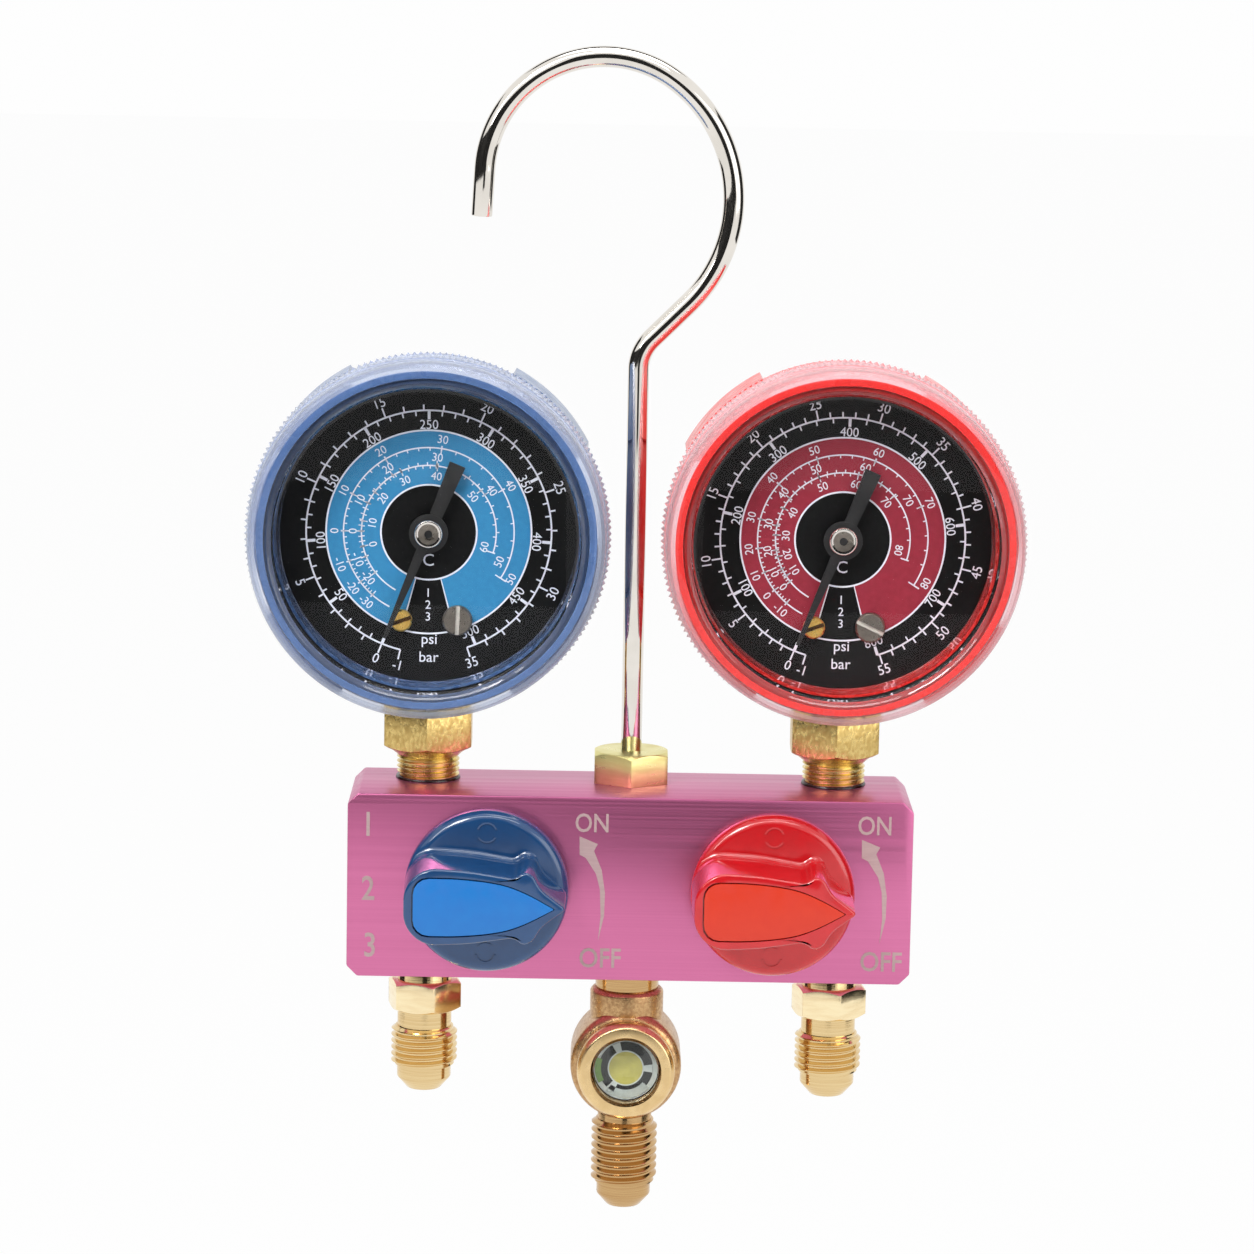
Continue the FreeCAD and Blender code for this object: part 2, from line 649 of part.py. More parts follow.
def hook():
    """One bent rod with an upset head, free to turn in the bore of its nut."""
    p = crook_points()
    head_top = -NUT_SPIGOT_DEPTH - AXIAL_PLAY
    start = (0.0, head_top - HOOK_HEAD_HEIGHT)
    path = Part.Wire([line(start, p["foot"]), arc(p["foot"], p["bend_mid"], p["slant_start"]),
                      line(p["slant_start"], p["slant_end"]), arc(p["slant_end"], p["large_mid"], p["join"]),
                      arc(p["join"], p["small_mid"], p["leg_top"]), line(p["leg_top"], p["leg_end"])])
    section = Part.Wire([Part.Circle(vec(0, 0, start[1]), vec(0, 0, 1), ROD_R).toShape()])
    bar = path.makePipeShell([section], True, True)
    tip = Part.makeSphere(ROD_R, vec(p["leg_end"][0], 0, p["leg_end"][1]))
    head = rod_z(0, 0, HOOK_HEAD_R, head_top - HOOK_HEAD_HEIGHT, head_top)
    shape = joined(bar, tip, head)
    shape.translate(vec(0, STEM_LINE, 0))
    add("hook", shape)

    nut = joined(hexagon_z(NUT_ACROSS, 0, NUT_HEIGHT, False, True),
                 rod_z(0, 0, NUT_SPIGOT_R, -NUT_SPIGOT_DEPTH, 0))
    nut = cut(nut, rod_z(0, 0, ROD_R + RUN_FIT, -NUT_SPIGOT_DEPTH - 1, NUT_HEIGHT + 1))
    nut.translate(vec(0, STEM_LINE, 0))
    add("hook_nut", nut)


def tube_sweep(inset, first_angle, last_angle):
    """The flattened tube's section, drawn in by this much, bent round the dial's centre."""
    half_width = TUBE_WIDTH / 2 - inset
    half_depth = TUBE_DEPTH / 2 - inset
    corner = TUBE_CORNER - inset * (2 - math.sqrt(2))
    quarter = [(half_depth, half_width - corner), (half_depth - corner, half_width)]
    points = quarter + [(-r, y) for r, y in reversed(quarter)]
    points += [(-r, -y) for r, y in quarter] + [(r, -y) for r, y in reversed(quarter)]
    corners = [vec(TUBE_MEAN_R + r, y, 0) for r, y in points]
    face = Part.Face(Part.makePolygon(corners + corners[:1]))
    bar = face.revolve(vec(0, 0, 0), vec(0, -1, 0), last_angle - first_angle)
    bar.rotate(vec(0, 0, 0), vec(0, -1, 0), first_angle)
    return bar


def link_ends():
    """Pivots of the link at rest: on the sector's tail and at the tube's tip."""
    axis = polar(GEAR_DISTANCE, SECTOR_AXIS_ANGLE)
    tail = tuple(a + d for a, d in zip(axis, polar(TAIL_LENGTH, TAIL_ANGLE)))
    return tail, (tail[0] + LINK_RUN_X, tail[1] + LINK_RUN_Z)


def bourdon_tube():
    """The flattened pressure tube, its soldered tip block and the lug for the link."""
    tip = polar(TUBE_MEAN_R, TUBE_TIP_ANGLE)
    upper = link_ends()[1]
    lug_back = TUBE_LUG_FRONT + TUBE_LUG_THICK
    tube = cut(tube_sweep(0, TUBE_TIP_ANGLE, TUBE_ROOT_ANGLE + 360),
               tube_sweep(TUBE_WALL, TUBE_TIP_ANGLE - 1, TUBE_ROOT_ANGLE + 361))
    block = rod_y(*tip, TUBE_TIP_R, TUBE_LUG_FRONT, TUBE_WIDTH / 2 + TUBE_BLOCK_LAP)
    lug = strap(tip, TUBE_TIP_R, upper, LINK_EYE_R, TUBE_LUG_FRONT, lug_back)
    eye = rod_y(*upper, LINK_PIN_R + RUN_FIT, TUBE_LUG_FRONT - 1, lug_back + 1)
    return cut(joined(tube, block, lug), eye)


def gauge_socket():
    """The brass stem with its hexagon, and the block inside the case that holds the tube."""
    bottom = -GAUGE_HEIGHT
    hex_bottom = bottom + GAUGE_THREAD_OUT + GAUGE_CONE
    hex_top = hex_bottom + GAUGE_HEX_HEIGHT
    end = bottom - GAUGE_THREAD_IN
    stem = turned_z([(0, end), (GAUGE_THREAD_R - EDGE_BREAK, end), (GAUGE_THREAD_R, end + EDGE_BREAK),
                     (GAUGE_THREAD_R, bottom + GAUGE_THREAD_OUT), (GAUGE_CONE_R, hex_bottom),
                     (0, hex_bottom)])
    half = SOCKET_WIDTH / 2
    neck = rod_z(0, 0, GAUGE_NECK_R, hex_top - 1, -SOCKET_BOTTOM + 1)
    body = box(-half, half, SOCKET_FRONT, SOCKET_BACK, -SOCKET_BOTTOM, -SOCKET_TOP)
    tongue = box(-TONGUE_WIDTH / 2, TONGUE_WIDTH / 2, TONGUE_FRONT, CASE_BACK - CASE_BACK_WALL,
                 -TONGUE_ROOT, -TONGUE_TOP)
    way = rod_z(0, 0, STEM_BORE_R, end - 1, -TUBE_MEAN_R)
    branch = rod_x(0, -TUBE_MEAN_R, STEM_BORE_R, -half + BRANCH_WALL, 0)
    nut = hexagon_z(GAUGE_HEX, hex_bottom, hex_top, True, False)
    tube_seat = tube_sweep(0, TUBE_TIP_ANGLE, TUBE_ROOT_ANGLE + 360)
    return cut(joined(stem, nut, neck, body, tongue), way, branch, tube_seat)


def gauge_case():
    """A deep cup with a threaded rim, a ledge for the dial, grip lobes and a slot for the socket."""
    inner_back = CASE_BACK - CASE_BACK_WALL
    ledge_back = DIAL_BACK + LEDGE_DEPTH
    cup = turned_y([(CASE_RIM_BORE_R, CASE_RIM_FRONT), (CASE_THREAD_R, CASE_RIM_FRONT),
                    (CASE_THREAD_R, CASE_FLANGE_FRONT), (CASE_R, CASE_FLANGE_FRONT),
                    (CASE_R, CASE_BACK - CASE_ROUND), (CASE_R - CASE_ROUND, CASE_BACK), (0, CASE_BACK),
                    (0, inner_back), (CASE_BORE_R - CASE_INNER_BEVEL, inner_back),
                    (CASE_BORE_R, inner_back - CASE_INNER_BEVEL),
                    (CASE_BORE_R, ledge_back), (LEDGE_R, ledge_back), (LEDGE_R, DIAL_BACK),
                    (CASE_RIM_BORE_R, DIAL_BACK)])
    lobes = []
    for middle in (45, 135, 225, 315):
        reach = LOBE_R / math.cos(math.radians(LOBE_HALF_ANGLE)) + 1
        wedge = polygon([(0, 0), polar(reach, middle - LOBE_HALF_ANGLE),
                         polar(reach, middle + LOBE_HALF_ANGLE)])
        pad = plate(wedge, LOBE_FRONT, LOBE_BACK).common(rod_y(0, 0, LOBE_R, LOBE_FRONT, LOBE_BACK))
        lobes.append(pad.cut(rod_y(0, 0, CASE_R - CASE_ROOT, LOBE_FRONT - 1, LOBE_BACK + 1)))
    slot = box(-CASE_SLOT_HALF, CASE_SLOT_HALF, DIAL_BACK, CASE_BACK + 1, -LOBE_R - 1, -CASE_SLOT_TOP)
    return cut(joined(cup, *lobes), slot, lens_seal())


def lens_seal():
    """The thin seal ring in the case's front rim."""
    front = LENS_GROOVE_FRONT
    return cut(rod_y(0, 0, CASE_RIM_BORE_R + LENS_SEAL_WIDTH, front, CASE_RIM_FRONT + LENS_SEAL_SEAT),
               rod_y(0, 0, CASE_RIM_BORE_R, front - 1, CASE_RIM_FRONT + 1))


def gauge_lens():
    """The clear cap: a knurled skirt that screws over the case, a shoulder and a set-back window."""
    window_front = LENS_FRONT + LENS_WINDOW_SET_BACK
    window_back = window_front + LENS_WINDOW_THICK
    thread_r = CASE_THREAD_R + LENS_THREAD_FIT
    return turned_y([(0, window_front), (LENS_WINDOW_R, window_front), (LENS_STEP_R, LENS_FRONT),
                     (LENS_FACE_R, LENS_FRONT), (LENS_WALL_R, LENS_FRONT + LENS_SHOULDER),
                     (LENS_WALL_R, LENS_KNURL_FRONT - EDGE_BREAK), (LENS_KNURL_R, LENS_KNURL_FRONT),
                     (LENS_KNURL_R, LENS_KNURL_BACK - EDGE_BREAK),
                     (LENS_KNURL_R - EDGE_BREAK, LENS_KNURL_BACK),
                     (thread_r, LENS_KNURL_BACK), (thread_r, LENS_GROOVE_FRONT),
                     (CASE_RIM_BORE_R - LENS_THREAD_FIT, LENS_GROOVE_FRONT),
                     (CASE_RIM_BORE_R - LENS_THREAD_FIT, LENS_SLEEVE_BACK),
                     (LENS_SLEEVE_R, LENS_SLEEVE_BACK), (LENS_SLEEVE_R, window_back), (0, window_back)])


def slotted_screw(x, z, head_r, shank_r, front, back, slot_angle, seat):
    """A screw along Y with a slotted round head, its shank running to the back of the plate."""
    head = turned_y([(0, front), (head_r - SCREW_EDGE, front), (head_r, front + SCREW_EDGE), (head_r, seat),
                     (0, seat)])
    slot = box(-head_r - 1, head_r + 1, front - 1, front + SLOT_DEPTH, -SLOT_WIDTH / 2, SLOT_WIDTH / 2)
    slot.rotate(vec(0, 0, 0), vec(0, -1, 0), slot_angle)
    screw = joined(cut(head, slot), rod_y(0, 0, shank_r, seat, back))
    screw.translate(vec(x, 0, z))
    return screw


def pointer():
    """The pointer blade at zero: a thin end to the scale and a broad tail, on a round boss."""
    outline = polygon([(-POINTER_TAIL, -POINTER_TAIL_HALF), (0, -POINTER_HUB_HALF),
                       (POINTER_LENGTH, -POINTER_TIP_HALF), (POINTER_LENGTH, POINTER_TIP_HALF),
                       (0, POINTER_HUB_HALF), (-POINTER_TAIL, POINTER_TAIL_HALF)])
    back = POINTER_FRONT + POINTER_THICK
    blade = plate(outline, POINTER_FRONT, back)
    boss = rod_y(0, 0, POINTER_BOSS_R, POINTER_FRONT - POINTER_BOSS_RISE, back)
    hole = rod_y(0, 0, HUB_SHANK_R, POINTER_FRONT - 1, back + 1)
    shape = cut(joined(blade, boss), hole)
    shape.rotate(vec(0, 0, 0), vec(0, -1, 0), POINTER_ZERO_ANGLE)
    return shape


def pointer_hub():
    cap_back = POINTER_FRONT - POINTER_BOSS_RISE
    cap_front = cap_back - HUB_CAP_THICK
    return turned_y([(ARBOR_R, cap_front), (HUB_CAP_R - EDGE_BREAK, cap_front),
                     (HUB_CAP_R, cap_front + EDGE_BREAK),
                     (HUB_CAP_R, cap_back), (HUB_SHANK_R, cap_back), (HUB_SHANK_R, cap_back + HUB_SHANK),
                     (ARBOR_R, cap_back + HUB_SHANK)])


def arbor():
    """The pointer's spindle with its pinion, from the hub's front to the back plate."""
    front = POINTER_FRONT - POINTER_BOSS_RISE - HUB_CAP_THICK
    spindle = rod_y(0, 0, ARBOR_R, front, BACK_PLATE_FRONT + PLATE_THICK)
    pitch_angle = 360.0 / PINION_TEETH
    outline = []
    for i in range(PINION_TEETH):
        outline += tooth_points(PINION_TEETH, PINION_ADDENDUM, SECTOR_AXIS_ANGLE + i * pitch_angle)
    pinion = plate(polygon(outline), PINION_FRONT, PINION_FRONT + PINION_LENGTH)
    return joined(spindle, pinion)


def sector_gear():
    """The toothed sector with its pivot, its tail and the pin for the link."""
    axis = polar(GEAR_DISTANCE, SECTOR_AXIS_ANGLE)
    to_pinion = SECTOR_AXIS_ANGLE + 180.0
    pitch_angle = 360.0 / SECTOR_TEETH
    back = SECTOR_FRONT + SECTOR_THICK
    outline = []
    for i in range(SECTOR_LAST_TOOTH, SECTOR_FIRST_TOOTH - 1, -1):
        outline += tooth_points(SECTOR_TEETH, SECTOR_ADDENDUM, to_pinion - (i + 0.5) * pitch_angle)
    root_r = GEAR_MODULE * SECTOR_TEETH / 2 - DEDENDUM * GEAR_MODULE
    first_angle = to_pinion - (SECTOR_FIRST_TOOTH + 0.5 - SECTOR_EDGE_PITCHES) * pitch_angle
    last_angle = to_pinion - (SECTOR_LAST_TOOTH + 0.5 + SECTOR_EDGE_PITCHES) * pitch_angle
    outline = [polar(root_r, last_angle)] + outline + [polar(root_r, first_angle), (0, 0)]
    fan = plate(polygon(outline), SECTOR_FRONT, back)
    mid_angle = (first_angle + last_angle) / 2
    inner_r = root_r - SECTOR_RIM
    web_r = SECTOR_HUB_R + SECTOR_WEB
    open_half = (first_angle - last_angle) / 2 - SECTOR_SPOKE_ANGLE
    window = polygon([polar(web_r, mid_angle - open_half), polar(inner_r, mid_angle - open_half),
                      polar(inner_r, mid_angle), polar(inner_r, mid_angle + open_half),
                      polar(web_r, mid_angle + open_half)])
    fan = cut(fan, plate(window, SECTOR_FRONT - 1, back + 1))
    tail_end = polar(TAIL_LENGTH, TAIL_ANGLE)
    tail = strap((0, 0), SECTOR_HUB_R, tail_end, TAIL_END_R, SECTOR_FRONT, back)
    shaft = rod_y(0, 0, SECTOR_SHAFT_R, PLATE_FRONT, BACK_PLATE_FRONT + PLATE_THICK)
    collar = rod_y(0, 0, SECTOR_HUB_R, SECTOR_FRONT - SECTOR_COLLAR, back + SECTOR_COLLAR)
    pin = rod_y(*tail_end, LINK_PIN_R, SECTOR_FRONT, LINK_FRONT + LINK_THICK)
    shape = joined(fan, tail, collar, shaft, pin)
    shape.translate(vec(axis[0], 0, axis[1]))
    return shape


def link():
    lower, upper = link_ends()
    back = LINK_FRONT + LINK_THICK
    bar = joined(strap(lower, LINK_BODY_R, upper, LINK_BODY_R, LINK_FRONT, back),
                 rod_y(*lower, LINK_EYE_R, LINK_FRONT, back), rod_y(*upper, LINK_EYE_R, LINK_FRONT, back))
    holes = [rod_y(*end, LINK_PIN_R + RUN_FIT, LINK_FRONT - 1, back + 1) for end in (lower, upper)]
    return cut(bar, *holes)


def movement_plates():
    """The front plate with its screw lugs and the back plate with its pillars and foot."""
    axis = polar(GEAR_DISTANCE, SECTOR_AXIS_ANGLE)
    zero = polar(SCREW_CIRCLE_R, ZERO_SCREW_ANGLE)
    fixing = polar(SCREW_CIRCLE_R, DIAL_SCREW_ANGLE)
    hub_lug = ((0, 0), PLATE_HUB_R)
    pivot_lug = (axis, PLATE_PIVOT_R)
    low_lug = (LOW_PILLAR, LOW_PILLAR_LUG_R)
    side_lug = (SIDE_PILLAR, SIDE_PILLAR_LUG_R)
    left_lug = (LEFT_PILLAR, LEFT_PILLAR_LUG_R)
    arms = ((hub_lug, pivot_lug), (hub_lug, low_lug), (pivot_lug, low_lug), (pivot_lug, side_lug),
            (hub_lug, left_lug), (low_lug, left_lug))
    screw_arms = ((low_lug, (zero, PLATE_SCREW_R)), (left_lug, (fixing, LEFT_PILLAR_LUG_R)))
    front_back = PLATE_FRONT + PLATE_THICK
    back_back = BACK_PLATE_FRONT + PLATE_THICK
    bearings = (through_hole((0, 0), ARBOR_R + RUN_FIT), through_hole(axis, SECTOR_SHAFT_R + RUN_FIT))
    front = joined(*[strap(*a, *b, PLATE_FRONT, front_back) for a, b in arms + screw_arms])
    front = cut(front, *bearings, through_hole(zero, ZERO_SCREW_R + RUN_FIT),
                through_hole(fixing, DIAL_SCREW_R))
    foot_half = TONGUE_WIDTH / 2 - FOOT_INSET
    foot = box(-foot_half, foot_half, BACK_PLATE_FRONT, back_back, FOOT_BOTTOM, -TONGUE_TOP + 1)
    back = joined(foot, *[strap(*a, *b, BACK_PLATE_FRONT, back_back) for a, b in arms])
    posts = [rod_y(*place, PILLAR_R, front_back, BACK_PLATE_FRONT)
             for place in (LOW_PILLAR, SIDE_PILLAR, LEFT_PILLAR)]
    return front, joined(cut(back, *bearings), *posts)


def hairspring():
    """A flat spiral of half circles round the arbor that takes up the gear's play."""
    radius = ARBOR_R + SPRING_CLEARANCE
    centre = 0.0
    sign = 1
    outer = []
    inner = []
    for _ in range(2 * SPRING_TURNS):
        start = (centre + sign * radius, 0.0)
        middle = (centre, sign * radius)
        end = (centre - sign * radius, 0.0)
        shift = sign * SPRING_STRIP
        outer.append((start, middle, end))
        inner.append(((start[0] - shift, 0.0), (middle[0], middle[1] - shift), (end[0] + shift, 0.0)))
        radius += SPRING_PITCH / 4
        centre += sign * SPRING_PITCH / 4
        sign = -sign
    edges = [arc(*points) for points in outer]
    edges.append(line(outer[-1][2], inner[-1][2]))
    edges += [arc(end, middle, start) for start, middle, end in reversed(inner)]
    edges.append(line(inner[0][0], outer[0][0]))
    return plate(Part.Wire(edges), SPRING_FRONT, SPRING_FRONT + SPRING_WIDTH)


def gauges():
    front_plate, back_plate = movement_plates()
    screw_back = PLATE_FRONT + PLATE_THICK
    zero = polar(SCREW_CIRCLE_R, ZERO_SCREW_ANGLE)
    fixing = polar(SCREW_CIRCLE_R, DIAL_SCREW_ANGLE)
    dial = cut(rod_y(0, 0, DIAL_R, DIAL_FRONT, DIAL_BACK), through_hole((0, 0), DIAL_HOLE_R),
               through_hole(zero, ZERO_SCREW_R + RUN_FIT), through_hole(fixing, DIAL_SCREW_R))
    shared = {
        "gauge_case": gauge_case(),
        "gauge_lens": gauge_lens(),
        "lens_seal": lens_seal(),
        "dial": dial,
        "pointer": pointer(),
        "pointer_hub": pointer_hub(),
        "arbor": arbor(),
        "sector_gear": sector_gear(),
        "link": link(),
        "bourdon_tube": bourdon_tube(),
        "gauge_socket": gauge_socket(),
        "movement_front_plate": front_plate,
        "movement_back_plate": back_plate,
        "hairspring": hairspring(),
    }
    seal_top = -GAUGE_HEIGHT + GAUGE_SEAL_HEIGHT
    seal = turned_z([(GAUGE_THREAD_R, -GAUGE_HEIGHT), (GAUGE_SEAL_R, -GAUGE_HEIGHT),
                     (GAUGE_SEAL_R, seal_top - EDGE_BREAK), (GAUGE_SEAL_R - EDGE_BREAK, seal_top),
                     (GAUGE_THREAD_R, seal_top)])
    for name, side in side_places():
        place = vec(side * PORT_PITCH / 2, STEM_LINE, GAUGE_HEIGHT)
        slot_angle = LOW_ZERO_SLOT if side < 0 else HIGH_ZERO_SLOT
        own = dict(shared)
        own["gauge_seal"] = seal
        own["zero_screw"] = slotted_screw(*zero, ZERO_SCREW_HEAD_R, ZERO_SCREW_R,
                                          DIAL_FRONT - AXIAL_PLAY - SCREW_HEAD_THICK, screw_back,
                                          slot_angle, DIAL_FRONT - AXIAL_PLAY)
        own["dial_screw"] = slotted_screw(*fixing, DIAL_SCREW_HEAD_R, DIAL_SCREW_R,
                                          DIAL_FRONT - SCREW_HEAD_THICK, screw_back,
                                          DIAL_SCREW_SLOT, DIAL_FRONT)
        for piece, shape in own.items():
            copy = shape.copy()
            copy.translate(place)
            add(name + "_" + piece, copy)


def grip_outline():
    """The grip seen from the front: a rounded butt, a waist, two ears and a pointed nose."""
    nose_x = GRIP_TIP - GRIP_NOSE_LENGTH
    edges = [line((-GRIP_BUTT, -GRIP_BUTT_FLAT), (-GRIP_BUTT, GRIP_BUTT_FLAT)),
             arc((nose_x, GRIP_TIP_HALF), (GRIP_TIP, 0), (nose_x, -GRIP_TIP_HALF))]
    for sign in (1, -1):
        butt = (-GRIP_BUTT, sign * GRIP_BUTT_FLAT)
        shoulder = (GRIP_BUTT_MID, sign * GRIP_BUTT_MID_HALF)
        corner = (-GRIP_CORNER, sign * GRIP_HALF)
        waist_in, waist, waist_out = ((x, sign * half) for x, half in GRIP_WAIST)
        ear, ear_out = ((x, sign * half) for x, half in GRIP_EAR)
        neck = (GRIP_NECK, sign * GRIP_NECK_HALF)
        nose = (nose_x, sign * GRIP_TIP_HALF)
        edges += [arc(butt, shoulder, corner), line(corner, waist_in), arc(waist_in, waist, waist_out),
                  arc(waist_out, ear, ear_out), line(ear_out, neck), line(neck, nose)]
    return Part.Wire(Part.__sortEdges__(edges))


def insert_outline(grow):
    """The teardrop of the insert, grown by a fit for its pocket."""
    half = INSERT_HALF + grow
    butt = INSERT_BUTT + grow
    corner = INSERT_CORNER
    nip = corner * (1 - math.sqrt(0.5))
    tip = INSERT_TIP + 2 * grow
    edges = [line((-butt, -half + corner), (-butt, half - corner)),
             line((tip, INSERT_TIP_HALF), (tip, -INSERT_TIP_HALF))]
    for sign in (1, -1):
        edges += [line((-butt + corner, sign * half), (-INSERT_SHOULDER, sign * half)),
                  arc((-butt, sign * (half - corner)), (-butt + nip, sign * (half - nip)),
                      (-butt + corner, sign * half)),
                  arc((-INSERT_SHOULDER, sign * half), (INSERT_BOW, sign * (half * INSERT_BOW_SHARE)),
                      (tip, sign * INSERT_TIP_HALF))]
    return Part.Wire(Part.__sortEdges__(edges))


def knob():
    """The moulded knob, hollow behind its grip, measured outwards from the block's front face."""
    rear = -KNOB_GAP
    disc_front = rear - KNOB_DISC
    grip_front = disc_front - KNOB_GRIP
    disc = turned_y([(0, disc_front), (KNOB_R - KNOB_EDGE, disc_front), (KNOB_R, disc_front + KNOB_EDGE),
                     (KNOB_R, rear), (0, rear)])
    grip = plate(grip_outline(), grip_front, disc_front + 1)
    rim = [e for e in grip.Edges if e.BoundBox.YMax < grip_front + 1e-6]
    grip = grip.makeFillet(KNOB_EDGE, rim)
    body = joined(disc, grip)
    pocket = plate(insert_outline(INSERT_FIT), grip_front - 1, grip_front + KNOB_POCKET)
    cavity_front = grip_front + KNOB_POCKET + KNOB_POCKET_FLOOR
    cavity = plate(grip_outline().makeOffset2D(-KNOB_WALL), cavity_front, rear + 1)
    hub = rod_y(0, 0, KNOB_HUB_R, cavity_front, rear)
    recess = rod_y(0, 0, KNOB_RECESS_R, rear - KNOB_RECESS + KNOB_GAP, rear + 1)
    half = (STEM_SQUARE + 2 * RUN_FIT) / 2
    square = box(-half, half, -KNOB_FLOOR - 1, rear + 1, -half, half)
    shaft_bore = rod_y(0, 0, STEM_R + RUN_FIT, -STEM_SHOULDER, rear + 1)
    head_room = rod_y(0, 0, KNOB_SCREW_HEAD_R + KNOB_HEAD_ROOM, grip_front, -KNOB_FLOOR)
    marks = []
    for sign in (1, -1):
        z = sign * KNOB_MARK_OFFSET
        ring = cut(rod_y(0, z, KNOB_MARK_R, disc_front - 1, disc_front + KNOB_MARK_DEPTH),
                   rod_y(0, z, KNOB_MARK_R - KNOB_MARK_LINE, disc_front - 2, disc_front + 1))
        marks.append(ring)
    return cut(joined(cut(body, cavity), hub), pocket, recess, square, shaft_bore, head_room, *marks)


def valves():
    flange_front = -BONNET_FLANGE
    collar_front = flange_front - BONNET_COLLAR
    bonnet_back = VALVE_BORE_DEPTH
    bonnet = turned_y([(STEM_R + RUN_FIT, collar_front), (BONNET_COLLAR_R, collar_front),
                       (BONNET_COLLAR_R, flange_front), (BONNET_FLANGE_R, flange_front), (BONNET_FLANGE_R, 0),
                       (VALVE_BORE_R, 0), (VALVE_BORE_R, bonnet_back), (PISTON_BORE_R, bonnet_back),
                       (PISTON_BORE_R, bonnet_back - BONNET_POCKET),
                       (STEM_R + RUN_FIT, bonnet_back - BONNET_POCKET)])
    half = STEM_SQUARE / 2
    stem = joined(rod_y(0, 0, STEM_TIP_R, PISTON_BACK - 1, PISTON_BACK + STEM_TIP),
                  rod_y(0, 0, STEM_R, -STEM_SHOULDER, PISTON_BACK - AXIAL_PLAY),
                  box(-half, half, -STEM_END, -STEM_SHOULDER, -half, half))
    stem = cut(stem, rod_y(0, 0, KNOB_SCREW_R, -STEM_END - 1, -KNOB_FLOOR + KNOB_SCREW_LENGTH))
    head_back = PISTON_BACK + PISTON_HEAD
    groove_start = PISTON_BACK + SEAL_GROOVE_START
    groove_end = groove_start + SEAL_GROOVE_WIDTH
    seal_front = SEAT_DEPTH - SEAT_SEAL_THICK
    piston = turned_y([(STEM_TIP_R + RUN_FIT, PISTON_BACK), (PISTON_BORE_R - RUN_FIT, PISTON_BACK),
                       (PISTON_BORE_R - RUN_FIT, groove_start), (SEAL_GROOVE_R, groove_start),
                       (SEAL_GROOVE_R, groove_end), (PISTON_BORE_R - RUN_FIT, groove_end),
                       (PISTON_BORE_R - RUN_FIT, head_back), (PISTON_NOSE_R, head_back),
                       (PISTON_NOSE_R, seal_front), (0, seal_front), (0, PISTON_BACK + STEM_TIP + AXIAL_PLAY),
                       (STEM_TIP_R + RUN_FIT, PISTON_BACK + STEM_TIP + AXIAL_PLAY)])
    ring = cut(rod_y(0, 0, PISTON_BORE_R - 2 * RUN_FIT, groove_start + RUN_FIT, groove_end - RUN_FIT),
               rod_y(0, 0, SEAL_GROOVE_R, groove_start, groove_end))
    seals = Part.makeCompound([ring, rod_y(0, 0, PISTON_NOSE_R, seal_front, SEAT_DEPTH)])
    grip_front = -KNOB_GAP - KNOB_DISC - KNOB_GRIP
    pocket_floor = grip_front + KNOB_POCKET
    insert = plate(insert_outline(0), grip_front - INSERT_PROUD, pocket_floor)
    screw = joined(rod_y(0, 0, KNOB_SCREW_HEAD_R, -KNOB_FLOOR - KNOB_SCREW_HEAD, -KNOB_FLOOR),
                   rod_y(0, 0, KNOB_SCREW_R, -KNOB_FLOOR, -KNOB_FLOOR + KNOB_SCREW_LENGTH))
    driver = box(-KNOB_SCREW_HEAD_R - 1, KNOB_SCREW_HEAD_R + 1, -KNOB_FLOOR - KNOB_SCREW_HEAD - 1,
                 -KNOB_FLOOR - KNOB_SCREW_HEAD + SLOT_DEPTH, -SLOT_WIDTH / 2, SLOT_WIDTH / 2)
    pieces = {"valve_bonnet": bonnet, "valve_stem": stem, "valve_piston": piston, "piston_seals": seals,
              "knob": knob(), "knob_insert": insert, "knob_screw": cut(screw, driver)}
    for name, side in side_places():
        for piece, shape in pieces.items():
            copy = shape.copy()
            copy.translate(vec(side * VALVE_PITCH / 2, BLOCK_FRONT, -VALVE_DROP))
            add(name + "_" + piece, copy)


def main():
    manifold_block()
    port_fittings()
    sight_glass()
    hook()
    gauges()
    valves()
    origin = vec(*hang_point())
    os.makedirs("parts", exist_ok=True)
    for name, shape in PARTS.items():
        placed = shape.copy()
        placed.translate(origin * -1)
        placed.exportStep(os.path.join("parts", name + ".step"))
    print("%d pieces, hang point at x %.3f y %.3f z %.3f above the block" % (len(PARTS), *origin))


main()
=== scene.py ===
"""Refrigerant manifold gauge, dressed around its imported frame. Sizes in code are millimetres."""
import json
import math
from typing import NamedTuple

import bmesh
import bpy
from mathutils import Matrix, Vector

